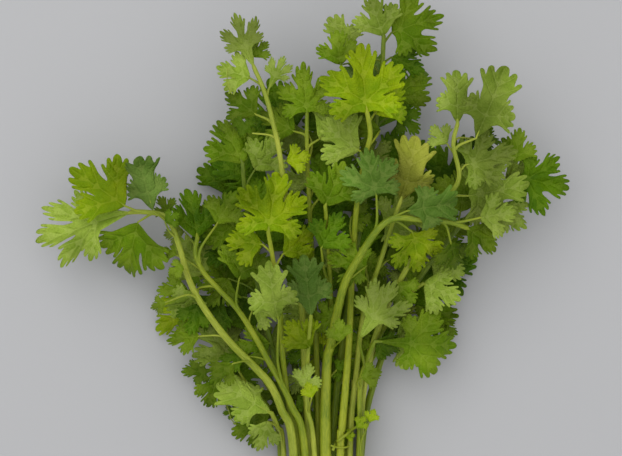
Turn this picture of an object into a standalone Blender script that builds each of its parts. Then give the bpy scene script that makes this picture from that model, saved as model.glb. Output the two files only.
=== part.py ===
"""Leaf celery bunch: two dozen cut leafy stems lying together on a table.

The stems run along Y, with their cut ends at -Y and their leaves at +Y, and +Z is up.
The lay of the bunch is worked out in millimetres, and every mesh is made in metres.
Each leafy stem is one solid: its stem, its branches and its cut leaflets fused together.
The stems that lie lowest have a flat side on the table, which the bunch rests on.
"""

import math
import random
from collections import namedtuple

import bmesh
import bpy
import numpy as np
from mathutils import Vector
from mathutils.bvhtree import BVHTree
from mathutils.geometry import delaunay_2d_cdt

MM = 0.001

# Driving dimensions, in millimetres
BLADE_THICKNESS = 0.7
BRANCH_RADIUS = 1.15
RIB_RADIUS = 0.7
RIB_SHARE = 0.17
STEM_GAP = 1.4
BLADE_CLEARANCE = 1.25
TUBE_CLEARANCE = 0.75
LOWEST_BLADE = 0.75
LOWEST_HUB = 1.6

# How finely the stems and leaves are drawn
STEM_SPACING = 3.0
COURSE_WITHIN = 0.75
FLAT_ENOUGH = math.radians(2.5)
SAME_PLACE = 0.02
FLAT_SIDES = 8
ROUND_SIDES = 6
BRANCH_SIDES = 4
FLAT_SHARE = math.cos(math.pi / FLAT_SIDES)
FACET_BAND = 0.25
NOT_ALONG_A_STEM = (0.13, 0.21, 0.97)

# How the stems taper and how they are pushed apart, a little in each round
TAPER_FROM = 0.25
SPREAD_ROUNDS = 160
NEW_PAIRS_AFTER = 10
NEIGHBOUR_REACH = 12.0
PUSH_SHARE = 0.22
LONGEST_PUSH = 0.5
PUSH_SMOOTHING = 0.35
FLOOR_MARGIN = 0.4

# How a blade waves, and how a branch leaves its stem and thins towards its leaflet
WAVE_HEIGHT = 0.05
WAVES_AROUND = 4
BRANCH_REACH = 0.35
BRANCH_STEPS = (0.0, 0.4, 1.0)
BRANCH_THINNING = 0.8

# What a leaflet draws where its table entry states nothing, in degrees
PITCH_DRAW = (-8, 12)
DROOP_DRAW = (10, 35)
ARCH_DRAW = (-30, 45)
TILT_RANGE = 16.0

# Changes of size, place, height and tilt that a leaflet tries until it clears all others
SIZE_TRIES = (1.0, 0.88, 0.76)
SHIFT_TRIES = (0, 4, -4, 8)
HEIGHT_TRIES = (0, 2, -2, 4, -4, 7, -7, 10, -10, 14, -14, 18, -18)
TILT_TRIES = 3
END_TILTS = ((12, 0), (-12, 0), (0, 14), (0, -14), (22, 0), (-22, 0))

Leaf = namedtuple("Leaf", "along hub heading length form pitch droop arch")
Stem = namedtuple("Stem", "name flat cut_radius tip_radius tone course leaves")

# A leaflet's form: where its lobes part, how deep they part, and each lobe's
# turn in degrees, reach and half width, as shares of the leaflet's length
FORMS = {
    "fan": (0.15, 0.46, ((-52, 0.70, 0.24), (0, 0.85, 0.25), (52, 0.70, 0.24))),
    "broad": (
        0.15,
        0.48,
        (
            (-100, 0.52, 0.17),
            (-50, 0.74, 0.21),
            (0, 0.85, 0.22),
            (50, 0.74, 0.21),
            (100, 0.52, 0.17),
        ),
    ),
    "long": (
        0.40,
        0.46,
        ((-98, 0.32, 0.12), (-48, 0.47, 0.16), (0, 0.60, 0.17), (48, 0.47, 0.16), (98, 0.32, 0.12)),
    ),
    "finger": (
        0.34,
        0.40,
        ((-66, 0.40, 0.10), (-33, 0.58, 0.11), (0, 0.66, 0.12), (33, 0.58, 0.11), (66, 0.40, 0.10)),
    ),
    "ovate": (0.30, 0.70, ((-72, 0.42, 0.20), (0, 0.70, 0.30), (72, 0.42, 0.20))),
}

# Half of a lobe's edge, from its foot to its tip: shares of its reach and of its half width
LOBE_EDGE = ((0.74, 1.00), (0.78, 0.48))
LOBE_FOOT = (0.22, 0.75)

LEAF_TONES = {
    "bright": (0.20, 0.30, 0.015),
    "mid": (0.12, 0.21, 0.015),
    "dark": (0.065, 0.135, 0.010),
    "pale": (0.21, 0.28, 0.075),
}


def leaf(along, hub, heading, length, form="fan", pitch=None, droop=None, arch=None):
    """One leaflet: where its branch leaves the stem, its foot, its way and its length."""
    return Leaf(along, hub, heading, length, form, pitch, droop, arch)


# The stems from the top of the pile to the table, each with its course and its leaves
STEMS = (
    Stem(
        "left_long_stem", False, 2.6, 1.3, "pale",
        ((-13, -95, 20), (-15, 0, 20), (-21, 22, 21), (-26, 34, 24), (-34, 43, 28), (-48, 57, 33),
         (-60, 73, 37), (-68, 88, 39), (-73, 105, 39), (-79, 119, 38), (-90, 122, 36), (-97, 122, 34)),
        (
            leaf(1.00, None, 195, 54, "finger", 0, 20),
            leaf(0.97, (-100, 125, 39), 144, 34, "fan", 8, 15),
            leaf(0.93, (-94, 117, 36), 256, 34, "fan", -6, 15),
            leaf(0.90, (-86, 123, 40), 104, 30, "ovate", 15, 10, 90),
        ),
    ),
    Stem(
        "big_right_stem", False, 3.1, 1.3, "mid",
        ((1, -97, 20), (0, 0, 20), (1, 44, 23), (3, 55, 28), (6, 71, 37), (10, 87, 46), (17, 100, 53),
         (24, 111, 57), (30, 117, 59), (36, 119, 60), (47, 118, 60), (61, 117, 57), (70, 114, 53)),
        (
            leaf(1.00, None, 322, 21, "fan", -12, 25),
            leaf(0.96, (76, 119, 56), 8, 20, "fan", -8, 20),
            leaf(0.82, (39, 122, 62), 10, 29, "ovate", 5, 20, 100),
            leaf(0.84, (43, 112, 56), 284, 25, "broad", -14, 25),
            leaf(0.94, (62, 107, 50), 286, 18, "fan", -15, 25),
            leaf(0.79, (25, 130, 62), 108, 26, "broad", 8, 25),
        ),
    ),
    Stem(
        "top_centre_stem", False, 2.2, 1.2, "bright",
        ((9, -93, 20), (8, 0, 20), (9, 14, 20), (12, 51, 24), (13, 75, 31), (14, 100, 39),
         (16, 128, 50), (20, 150, 59), (22, 160, 62), (20.5, 170, 64)),
        (
            leaf(1.00, None, 98, 37, "broad", 4, 25),
            leaf(0.97, (24, 170, 62), 42, 24, "fan", -8, 20),
            leaf(0.90, (17, 152, 62), 148, 27, "fan", -6, 20),
        ),
    ),
    Stem(
        "right_low_stem", False, 2.0, 1.1, "mid",
        ((16, -90, 20), (18, 0, 20), (18, 33, 21), (21, 46, 27), (25, 57, 34)),
        (
            leaf(1.00, None, 356, 47, "long", -6, 20),
            leaf(0.90, (17, 58, 36), 57, 37, "finger", 12, 20),
            leaf(0.80, (18, 39, 26), 12, 12, "fan", 10, 10),
        ),
    ),
    Stem(
        "left_middle_stem", False, 2.2, 1.2, "mid",
        ((-7, -92, 20), (-10, 0, 20), (-18, 24, 22), (-29, 46, 27), (-36, 60, 31), (-44, 73, 34),
         (-54, 84, 36), (-61, 92, 37), (-65, 101, 37), (-64, 109, 36)),
        (
            leaf(1.00, None, 96, 27, "fan", 0, 20),
            leaf(0.59, (-23, 68, 40), 103, 32, "ovate", 8, 20),
            leaf(0.86, (-63, 84, 34), 228, 24, "ovate", -15, 20),
            leaf(0.78, (-43, 88, 40), 72, 26, "fan", 8, 20),
            leaf(0.93, (-54, 116, 38), 62, 20, "fan", 5, 15),
        ),
    ),
    Stem(
        "young_centre_stem", False, 1.7, 1.0, "pale",
        ((-4, -90, 20), (-6, 0, 20), (-9, 22, 21), (-9, 42, 25), (-8, 58, 34), (-7, 70, 42)),
        (
            leaf(1.00, None, 96, 33, "ovate", 4, 20),
            leaf(0.92, (-10, 57, 34), 128, 19, "fan", 8, 15),
            leaf(0.82, (-11, 33, 27), 70, 14, "fan", 12, 10),
        ),
    ),
    Stem(
        "pale_yellow_stem", False, 1.8, 1.1, "pale",
        ((12, -92, 15), (13, 0, 15), (16, 38, 18), (20, 73, 27), (26, 92, 36), (31, 108, 44),
         (34, 118, 50), (37, 127, 56)),
        (
            leaf(1.00, None, 73, 34, "ovate", 18, 25, 60),
            leaf(0.80, (31, 97, 40), 22, 28, "fan", -8, 25),
            leaf(0.74, (21, 96, 42), 112, 24, "fan", 5, 20),
        ),
    ),
    Stem(
        "right_top_stem", False, 2.1, 1.1, "pale",
        ((17, -95, 14.5), (18, 0, 14), (20, 33, 17), (27, 63, 26), (38, 88, 35), (50, 110, 43),
         (60, 128, 50), (66, 139, 54), (63, 155, 56), (65, 165, 57)),
        (
            leaf(1.00, None, 90, 28, "ovate", 8, 20),
            leaf(0.95, (74, 158, 57), 68, 40, "ovate", 12, 30, -80),
            leaf(0.90, (69, 145, 57), 14, 27, "broad", 5, 20),
            leaf(0.86, (71, 130, 53), 10, 36, "broad", 0, 25),
        ),
    ),
    Stem(
        "centre_bright_stem", False, 1.9, 1.1, "bright",
        ((-11, -94, 15), (-13, 0, 15), (-18, 22, 16), (-21, 45, 22), (-22, 65, 31), (-24, 85, 43),
         (-26, 100, 52), (-28, 112, 58)),
        (
            leaf(1.00, None, 82, 33, "broad", 5, 25),
            leaf(0.93, (-31, 106, 52), 176, 20, "fan", -10, 20),
            leaf(0.88, (-21, 101, 52), 35, 23, "fan", -5, 20),
        ),
    ),
    Stem(
        "centre_top_stem", False, 1.9, 1.0, "mid",
        ((0, -94, 15), (1, 0, 14.5), (2, 44, 18), (3, 75, 27), (2, 100, 38), (1, 113, 46), (0, 125, 54)),
        (
            leaf(1.00, None, 68, 28, "fan", 8, 20),
            leaf(0.79, (-2, 104, 50), 58, 21, "fan", 10, 15),
        ),
    ),
    Stem(
        "top_left_stem", False, 2.0, 1.1, "pale",
        ((-6, -91, 15), (-8, 0, 14.5), (-10, 38, 18), (-12, 78, 30), (-17, 113, 42), (-21, 140, 52),
         (-23, 154, 56), (-26, 167, 57), (-28, 175, 57), (-31, 184, 56), (-35, 193, 54)),
        (
            leaf(1.00, None, 112, 30, "finger", 0, 20),
            leaf(0.93, (-28, 182, 56), 64, 20, "finger", 5, 30, 100),
            leaf(0.95, (-37, 188, 52), 160, 19, "fan", -5, 10),
            leaf(0.90, (-34, 170, 55), 140, 20, "fan", -5, 20),
        ),
    ),
    Stem(
        "lower_left_pale_stem", False, 1.8, 1.2, "pale",
        ((-18, -90, 14.5), (-21, 0, 14.5), (-24, 12, 18), (-27, 20, 25)),
        (
            leaf(1.00, None, 148, 34, "ovate", 8, 25, 120),
            leaf(0.90, (-31, 15, 14), 204, 20, "fan", -10, 15),
        ),
    ),
    Stem(
        "upper_left_stem", False, 2.0, 1.1, "dark",
        ((-13, -93, 9.5), (-16, 0, 9.5), (-24, 40, 15), (-33, 80, 28), (-38, 115, 38), (-40, 133, 43),
         (-41, 146, 45)),
        (
            leaf(1.00, None, 114, 27, "fan", 0, 20),
            leaf(0.94, (-35, 143, 44), 52, 22, "fan", 5, 20),
            leaf(0.84, (-42, 114, 36), 158, 27, "fan", -5, 20),
            leaf(0.80, (-30, 106, 34), 70, 28, "fan", 0, 20),
        ),
    ),
    Stem(
        "top_back_stem", False, 2.1, 1.2, "dark",
        ((3, -95, 9.5), (4, 0, 9.5), (8, 45, 13), (14, 90, 26), (20, 130, 38), (25, 165, 47),
         (28, 190, 50), (29, 209, 50)),
        (
            leaf(1.00, None, 112, 23, "fan", 5, 20),
            leaf(0.97, (33, 211, 49), 20, 30, "broad", -5, 25),
            leaf(0.94, (33, 199, 45), 335, 19, "fan", -8, 15),
            leaf(0.87, (34, 178, 46), 44, 25, "fan", 0, 20),
            leaf(0.93, (16, 201, 48), 128, 24, "ovate", 5, 20, -90),
            leaf(0.88, (23, 185, 44), 112, 22, "fan", 0, 20),
        ),
    ),
    Stem(
        "small_top_stem", False, 1.8, 1.0, "mid",
        ((-2, -91, 9.5), (-3, 0, 9.5), (-4, 45, 14), (-6, 90, 28), (-8, 130, 40), (-9, 155, 46),
         (-9, 171, 48)),
        (
            leaf(1.00, None, 94, 25, "broad", 5, 20),
            leaf(0.96, (-15, 162, 44), 152, 22, "fan", -8, 20),
            leaf(0.93, (-3, 158, 46), 42, 28, "fan", 0, 20),
            leaf(0.80, (-2, 130, 40), 50, 28, "fan", 0, 20),
        ),
    ),
    Stem(
        "dark_right_stem", False, 2.1, 1.1, "dark",
        ((14, -92, 9), (19, 0, 9), (27, 40, 13), (42, 78, 22), (60, 105, 29), (76, 124, 33),
         (88, 135, 34), (98, 140, 33)),
        (
            leaf(1.00, None, 344, 28, "broad", -5, 20),
            leaf(0.96, (95, 147, 35), 77, 18, "fan", 5, 20),
            leaf(0.90, (88, 126, 30), 318, 20, "fan", -10, 20),
            leaf(0.82, (68, 122, 34), 78, 28, "fan", 0, 20),
            leaf(0.72, (54, 98, 28), 332, 21, "fan", 0, 20),
        ),
    ),
    Stem(
        "right_middle_stem", False, 1.9, 1.0, "mid",
        ((9, -94, 9), (11, 0, 9), (20, 40, 14), (33, 68, 22), (43, 81, 27), (50, 86, 28)),
        (
            leaf(1.00, None, 337, 22, "fan", 0, 20),
            leaf(0.88, (40, 69, 22), 300, 24, "fan", -12, 20),
            leaf(0.82, (25, 74, 26), 118, 24, "fan", 5, 20),
        ),
    ),
    Stem(
        "lower_left_stem", False, 1.8, 1.0, "mid",
        ((-19, -90, 8.5), (-23, 0, 8.5), (-28, 20, 11), (-38, 32, 15), (-47, 39, 17), (-54, 42, 17)),
        (
            leaf(1.00, None, 190, 21, "long", -10, 20),
            leaf(0.86, (-47, 47, 20), 128, 26, "fan", 0, 20),
            leaf(0.93, (-55, 37, 14), 254, 18, "fan", -5, 20),
        ),
    ),
    Stem(
        "low_far_left_stem", True, 2.2, 1.2, "mid",
        ((-14, -94, 0), (-16, 0, 0), (-28, 30, 0), (-44, 55, 0), (-55, 74, 3), (-61, 88, 8)),
        (
            leaf(1.00, None, 124, 27, "fan", 5, 20),
            leaf(0.90, (-68, 73, 9), 214, 24, "fan", 0, 20),
            leaf(0.95, (-70, 82, 10), 182, 17, "fan", 0, 20),
            leaf(0.85, (-48, 78, 12), 74, 30, "fan", 5, 20),
            leaf(0.68, (-36, 58, 10), 110, 28, "fan", 0, 20),
        ),
    ),
    Stem(
        "low_left_stem", True, 2.2, 1.2, "dark",
        ((-8, -90, 0), (-10, 0, 0), (-16, 45, 0), (-30, 85, 0), (-40, 112, 4), (-48, 130, 9)),
        (
            leaf(1.00, None, 96, 30, "fan", 4, 20),
            leaf(0.84, (-44, 108, 12), 168, 30, "fan", 0, 20),
            leaf(0.80, (-26, 102, 15), 70, 31, "fan", 5, 20),
            leaf(0.64, (-16, 80, 10), 60, 30, "fan", 0, 20),
        ),
    ),
    Stem(
        "low_centre_left_stem", True, 2.2, 1.2, "dark",
        ((-2, -92, 0), (-3, 0, 0), (-5, 50, 0), (-10, 100, 0), (-15, 138, 5), (-19, 160, 12)),
        (
            leaf(1.00, None, 110, 33, "fan", 4, 20),
            leaf(0.85, (-22, 134, 14), 158, 31, "fan", 0, 20),
            leaf(0.78, (-2, 118, 16), 48, 31, "fan", 5, 20),
            leaf(0.93, (-27, 155, 14), 165, 27, "fan", 0, 20),
        ),
    ),
    Stem(
        "low_centre_right_stem", True, 2.2, 1.2, "dark",
        ((4, -90, 0), (4, 0, 0), (6, 50, 0), (12, 100, 0), (19, 143, 6), (24, 165, 14)),
        (
            leaf(1.00, None, 76, 35, "fan", 4, 20),
            leaf(0.90, (10, 156, 14), 134, 30, "fan", 0, 20),
            leaf(0.84, (28, 144, 14), 28, 31, "fan", 5, 20),
            leaf(0.70, (5, 112, 12), 112, 30, "fan", 0, 20),
        ),
    ),
    Stem(
        "low_right_stem", True, 2.2, 1.2, "dark",
        ((10, -93, 0), (11, 0, 0), (19, 45, 0), (36, 85, 0), (50, 112, 4), (60, 130, 10)),
        (
            leaf(1.00, None, 58, 35, "fan", 4, 20),
            leaf(0.88, (44, 122, 14), 104, 31, "fan", 5, 20),
            leaf(0.85, (58, 104, 12), 322, 20, "fan", 0, 20),
            leaf(0.72, (30, 96, 12), 96, 30, "fan", 0, 20),
            leaf(0.70, (45, 90, 10), 12, 29, "fan", 0, 20),
        ),
    ),
    Stem(
        "low_far_right_stem", True, 2.2, 1.2, "mid",
        ((16, -91, 0), (18, 0, 0), (18.5, 32, 0), (26, 50, 0), (36, 64, 4), (46, 73, 9)),
        (
            leaf(1.00, None, 352, 24, "fan", 4, 20),
            leaf(0.86, (38, 57, 10), 322, 21, "fan", 0, 20),
            leaf(0.92, (42, 77, 12), 40, 26, "fan", 5, 20),
            leaf(0.76, (26, 59, 10), 86, 28, "fan", 0, 20),
        ),
    ),
)


def smooth_course(points, spacing):
    """Points about spacing apart on the smooth curve that runs through the given points."""
    known = [np.array(p, float) for p in points]
    known = [2 * known[0] - known[1]] + known + [2 * known[-1] - known[-2]]
    course = []
    for before, start, end, after in zip(known, known[1:], known[2:], known[3:]):
        count = max(1, round(np.linalg.norm(end - start) / spacing))
        for step in range(count):
            t = step / count
            course.append(
                0.5
                * (
                    2 * start
                    + (end - before) * t
                    + (2 * before - 5 * start + 4 * end - after) * t**2
                    + (3 * start - before - 3 * end + after) * t**3
                )
            )
    course.append(known[-2])
    return np.array(course)


def shares_along(points):
    """Each point's share of the way along a course."""
    steps = np.linalg.norm(np.diff(points, axis=0), axis=1)
    return np.concatenate([[0], np.cumsum(steps)]) / steps.sum()


def stem_radii(stem, points):
    """A stem's radius at each point: full at first, then tapering to its tip."""
    share = shares_along(points)
    taper = np.clip((share - TAPER_FROM) / (1 - TAPER_FROM), 0, 1)
    return stem.cut_radius + (stem.tip_radius - stem.cut_radius) * taper


def close_pairs(places, owner, reach):
    """Pairs of points of different stems that lie within reach of each other."""
    size = (places**2).sum(axis=1)
    apart = size[:, None] + size[None] - 2 * places @ places.T
    near = (apart < reach**2) & (owner[:, None] < owner[None])
    return np.nonzero(near)


def spread_stems(stems):
    """Courses and radii of all stems, pushed apart until they lie beside and on each other."""
    courses = [smooth_course(stem.course, STEM_SPACING) for stem in stems]
    radii = [stem_radii(stem, course) for stem, course in zip(stems, courses)]
    for stem, course, radius in zip(stems, courses, radii):
        if stem.flat:
            course[:, 2] = np.maximum(course[:, 2], radius * FLAT_SHARE)
    start = np.concatenate(courses)
    radius = np.concatenate(radii)
    owner = np.concatenate([np.full(len(course), i) for i, course in enumerate(courses)])
    flat = np.array([stems[i].flat for i in owner])
    first = np.concatenate([[True], owner[1:] != owner[:-1]])
    last = np.concatenate([owner[1:] != owner[:-1], [True]])
    moved = np.zeros_like(start)
    for turn in range(SPREAD_ROUNDS):
        places = start + moved
        if turn % NEW_PAIRS_AFTER == 0:
            one, other = close_pairs(places, owner, NEIGHBOUR_REACH)
        between = places[one] - places[other]
        apart = np.linalg.norm(between, axis=1)
        lack = np.clip(radius[one] + radius[other] + STEM_GAP - apart, 0, None)
        push = between * (PUSH_SHARE * lack / np.maximum(apart, SAME_PLACE))[:, None]
        step = np.zeros_like(start)
        np.add.at(step, one, push)
        np.add.at(step, other, -push)
        length = np.linalg.norm(step, axis=1)
        step *= (np.minimum(length, LONGEST_PUSH) / np.maximum(length, 1e-9))[:, None]
        moved += step
        mean = moved.copy()
        mean[1:-1] = 0.5 * (moved[:-2] + moved[2:])
        mean[first | last] = moved[first | last]
        moved += PUSH_SMOOTHING * (mean - moved)
        moved[first, 1] = 0
        moved[flat, 2] = 0
        low = radius + FLOOR_MARGIN - start[:, 2]
        moved[~flat, 2] = np.maximum(moved[~flat, 2], low[~flat])
    places = start + moved
    return [places[owner == i] for i in range(len(stems))], radii


def edge_points(form, length):
    """A leaflet's flat edge, foot at zero and tip along X, and last the place its lobes part from."""
    palm, depth, lobes = FORMS[form]
    centre = np.array([palm * length, 0.0])

    def on_lobe(turn, along, across):
        angle = math.radians(turn)
        way = np.array([math.cos(angle), math.sin(angle)])
        side = np.array([-way[1], way[0]])
        return centre + way * along * length + side * across * length

    edge = [np.zeros(2)]
    for number, (turn, reach, width) in enumerate(lobes):
        if number == 0:
            edge.append(on_lobe(turn, LOBE_FOOT[0] * reach, -LOBE_FOOT[1] * width))
        else:
            before = lobes[number - 1]
            edge.append(on_lobe((turn + before[0]) / 2, depth * min(reach, before[1]), 0))
        edge += [on_lobe(turn, a * reach, -w * width) for a, w in LOBE_EDGE]
        edge.append(on_lobe(turn, reach, 0))
        edge += [on_lobe(turn, a * reach, w * width) for a, w in reversed(LOBE_EDGE)]
    turn, reach, width = lobes[-1]
    edge.append(on_lobe(turn, LOBE_FOOT[0] * reach, LOBE_FOOT[1] * width))
    return edge + [centre]


def flat_blade(form, length):
    """A leaflet as flat points and the triangles between them."""
    points = [Vector(place) for place in edge_points(form, length)]
    count = len(points) - 1
    around = [(i, (i + 1) % count) for i in range(count)]
    made = delaunay_2d_cdt(points, around, [], 1, 1e-6)
    return np.array([tuple(p) for p in made[0]]), [tuple(face) for face in made[2]]


def blade_frame(heading, pitch, roll):
    """Forward, sideways and upward directions of a leaflet."""
    h, p, r = (math.radians(a) for a in (heading, pitch, roll))
    forward = np.array([math.cos(h) * math.cos(p), math.sin(h) * math.cos(p), math.sin(p)])
    level = np.array([-math.sin(h), math.cos(h), 0.0])
    upright = np.cross(forward, level)
    side = level * math.cos(r) + upright * math.sin(r)
    return forward, side, np.cross(forward, side)


def curved(amount, along):
    """Where a strip bent by amount per unit length comes to: its reach and its fall."""
    if abs(amount) < 1e-6:
        return along, 0 * along
    return np.sin(amount * along) / amount, (1 - np.cos(amount * along)) / amount


def place_blade(flat, hub, length, pose):
    """A flat leaflet's points bent, arched and waved in its place."""
    heading, pitch, roll, droop, arch, phase = pose
    forward, side, up = blade_frame(heading, pitch, roll)
    reach, fall = curved(math.radians(droop) / length, flat[:, 0])
    across, sag = curved(math.radians(arch) / length, flat[:, 1])
    turn = np.arctan2(flat[:, 1], flat[:, 0])
    out = (flat**2).sum(axis=1) / length**2
    height = WAVE_HEIGHT * length * np.sin(WAVES_AROUND * turn + phase) * out - fall - sag
    return hub + reach[:, None] * forward + across[:, None] * side + height[:, None] * up


def point_normals(points, faces):
    """The average normal at each point of a triangle mesh."""
    index = np.array(faces)
    corner = [points[index[:, i]] for i in range(3)]
    normal = np.cross(corner[1] - corner[0], corner[2] - corner[0])
    total = np.zeros_like(points)
    for i in range(3):
        np.add.at(total, index[:, i], normal)
    return total / np.linalg.norm(total, axis=1)[:, None]


def thick_tree(points, faces, half):
    """A search tree of a blade's middle, its two faces, each half away from it, and its rim."""
    normal = point_normals(points, faces) * half
    both = np.concatenate([points + normal, points, points - normal])
    count = len(points)
    layers = [tuple(i + count * layer for i in face) for layer in range(3) for face in faces]
    sides = [(face[k], face[(k + 1) % 3]) for face in faces for k in range(3)]
    rim = [(a, b) for a, b in sides if (b, a) not in set(sides)]
    walls = [(a, b, b + 2 * count, a + 2 * count) for a, b in rim]
    return BVHTree.FromPolygons([tuple(p) for p in both], layers + walls)


def tube_tree(points, radii):
    """A search tree of a six-sided tube."""
    way = np.gradient(points, axis=0)
    way /= np.linalg.norm(way, axis=1)[:, None]
    side = np.cross(way, NOT_ALONG_A_STEM)
    side /= np.linalg.norm(side, axis=1)[:, None]
    up = np.cross(side, way)
    rings = []
    for k in range(ROUND_SIDES):
        angle = 2 * math.pi * k / ROUND_SIDES
        rings.append(points + radii[:, None] * (math.cos(angle) * side + math.sin(angle) * up))
    places = np.concatenate(rings)
    count = len(points)
    faces = []
    for k in range(ROUND_SIDES):
        after = (k + 1) % ROUND_SIDES
        for i in range(count - 1):
            faces.append((k * count + i, k * count + i + 1, after * count + i + 1, after * count + i))
    return BVHTree.FromPolygons([tuple(p) for p in places], faces)


def branch_course(start, way, hub, forward, blade_points):
    """A branch's curve from the stem to the leaflet's foot, and on along its middle vein."""
    span = np.linalg.norm(hub - start)
    first = start + way * BRANCH_REACH * span
    second = hub - forward * BRANCH_REACH * span
    course = []
    for t in BRANCH_STEPS:
        course.append(
            (1 - t) ** 3 * start
            + 3 * (1 - t) ** 2 * t * first
            + 3 * (1 - t) * t**2 * second
            + t**3 * hub
        )
    return np.array(course + list(blade_points))


def boxes_touch(one, other):
    """Whether two boxes, each a lowest and a highest corner, share room."""
    return bool((one[0] <= other[1]).all() and (other[0] <= one[1]).all())


def is_clear(tree, box, kept, skipped):
    """Whether a shape crosses none of the kept shapes but the skipped ones."""
    for owner, kind, number, other_tree, other_box in kept:
        if (owner, kind, number) in skipped or (owner, kind, None) in skipped:
            continue
        if boxes_touch(box, other_box) and tree.overlap(other_tree):
            return False
    return True


def box_of(points, margin):
    """The box round some points, a margin wider each way."""
    return points.min(axis=0) - margin, points.max(axis=0) + margin


def rib_points(hub, length, pose):
    """The place on a leaflet's middle vein where its branch ends as a rib."""
    return place_blade(np.array([[RIB_SHARE * length, 0.0]]), hub, length, pose)


def lay_out():
    """The whole bunch: each stem's course and radii, and each leaflet with its pose and branch."""
    courses, radii = spread_stems(STEMS)
    kept = []
    for stem, course, radius in zip(STEMS, courses, radii):
        tree = tube_tree(course, radius + TUBE_CLEARANCE)
        kept.append((stem.name, "stem", None, tree, box_of(course, radius.max() + TUBE_CLEARANCE)))
    placed = {stem.name: [] for stem in STEMS}
    for stem, course, radius in zip(STEMS, courses, radii):
        shares = shares_along(course)
        ways = np.gradient(course, axis=0)
        for number, wanted in enumerate(stem.leaves):
            draw = random.Random(f"{stem.name} {number}")
            found = find_place(stem, number, wanted, course, shares, ways, kept, draw)
            if found:
                placed[stem.name].append(found)
    return courses, radii, placed


def tries_of(wanted, ends_stem, draw):
    """The sizes, shifts, rises and tilts that a leaflet tries, the best ones first."""
    tilts = [(0.0, 0.0)]
    for _ in range(TILT_TRIES - 1):
        tilts.append((draw.uniform(-TILT_RANGE, TILT_RANGE), draw.uniform(-TILT_RANGE, TILT_RANGE)))
    if ends_stem:
        tilts += END_TILTS
    shifts = (0,) if ends_stem else SHIFT_TRIES
    rises = (0,) if ends_stem else HEIGHT_TRIES
    for size in SIZE_TRIES:
        for shift in shifts:
            for rise in rises:
                for lift, lean in tilts:
                    yield size * wanted.length, shift, rise, lift, lean


def find_place(stem, number, wanted, course, shares, ways, kept, draw):
    """The first pose in which a leaflet and its branch clear all that is already there."""
    at = int(np.argmin(abs(shares - wanted.along)))
    way = ways[at] / np.linalg.norm(ways[at])
    ends_stem = wanted.hub is None
    pitch = draw.uniform(*PITCH_DRAW) if wanted.pitch is None else wanted.pitch
    droop = draw.uniform(*DROOP_DRAW) if wanted.droop is None else wanted.droop
    arch = draw.uniform(*ARCH_DRAW) if wanted.arch is None else wanted.arch
    phase = draw.uniform(0, 2 * math.pi)
    roll = draw.uniform(-TILT_RANGE, TILT_RANGE)
    own_stem = (stem.name, "stem", None)
    onward = blade_frame(wanted.heading, 0, 0)[0]
    for length, shift, rise, lift, lean in tries_of(wanted, ends_stem, draw):
        hub = course[-1] if ends_stem else np.array(wanted.hub, float) + (0, 0, rise) + shift * onward
        pose = (wanted.heading, pitch + lift, roll + lean, droop, arch, phase)
        flat, faces = flat_blade(wanted.form, length)
        points = place_blade(flat, hub, length, pose)
        if hub[2] < LOWEST_HUB or points[:, 2].min() < LOWEST_BLADE:
            continue
        blade = (thick_tree(points, faces, BLADE_CLEARANCE), box_of(points, BLADE_CLEARANCE))
        if not is_clear(*blade, kept, (own_stem,)):
            continue
        branch = None
        if not ends_stem:
            forward = blade_frame(*pose[:3])[0]
            branch = branch_course(course[at], way, hub, forward, rib_points(hub, length, pose))
            if branch[1:, 2].min() < LOWEST_HUB:
                continue
            thick = np.full(len(branch), BRANCH_RADIUS + TUBE_CLEARANCE)
            tube = (tube_tree(branch, thick), box_of(branch, BRANCH_RADIUS + TUBE_CLEARANCE))
            if not is_clear(*tube, kept, (own_stem, (stem.name, "branch", None))):
                continue
            kept.append((stem.name, "branch", number, *tube))
        kept.append((stem.name, "blade", number, *blade))
        return wanted.form, hub, length, pose, branch
    return None


def place_of_middle(courses, placed):
    """The middle of the bunch's box in X and Y, which becomes the origin."""
    points = [course[:, :2] for course in courses]
    for leaves in placed.values():
        for form, hub, length, pose, branch in leaves:
            points.append(place_blade(flat_blade(form, length)[0], hub, length, pose)[:, :2])
    everything = np.concatenate(points)
    middle = (everything.min(axis=0) + everything.max(axis=0)) / 2
    return np.array([round(middle[0], 1), round(middle[1], 1), 0.0])


def clear_scene():
    """An empty scene to build in."""
    for thing in list(bpy.data.objects):
        bpy.data.objects.remove(thing)


def leaf_material(name, tone):
    """Fresh celery green, with the sheen of a living leaf."""
    material = bpy.data.materials.new(name)
    material.use_nodes = True
    shader = material.node_tree.nodes["Principled BSDF"]
    shader.inputs["Base Color"].default_value = (*LEAF_TONES[tone], 1)
    shader.inputs["Roughness"].default_value = 0.5
    shader.inputs["Metallic"].default_value = 0.0
    return material


def tube_object(name, points, radii, sides, group):
    """A closed tube along a course, thinner towards its end, as a mesh."""
    curve = bpy.data.curves.new(name, "CURVE")
    curve.dimensions = "3D"
    curve.bevel_depth = MM
    curve.bevel_resolution = (sides - 4) // 2
    curve.use_fill_caps = True
    curve.twist_mode = "Z_UP"
    spline = curve.splines.new("POLY")
    spline.points.add(len(points) - 1)
    for spot, place, radius in zip(spline.points, points, radii):
        spot.co = (*(place * MM), 1)
        spot.radius = radius
        spot.tilt = math.pi / sides
    drawn = bpy.data.objects.new(name + "_line", curve)
    group.objects.link(drawn)
    mesh = bpy.data.meshes.new_from_object(drawn.evaluated_get(bpy.context.evaluated_depsgraph_get()))
    tube = bpy.data.objects.new(name, mesh)
    tube.matrix_world = drawn.matrix_world
    group.objects.link(tube)
    bpy.data.objects.remove(drawn)
    edit_mesh(mesh, weld_and_triangulate)
    return tube


def edit_mesh(mesh, change):
    """Apply a bmesh change to a mesh."""
    bm = bmesh.new()
    bm.from_mesh(mesh)
    change(bm)
    bm.to_mesh(mesh)
    bm.free()


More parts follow.
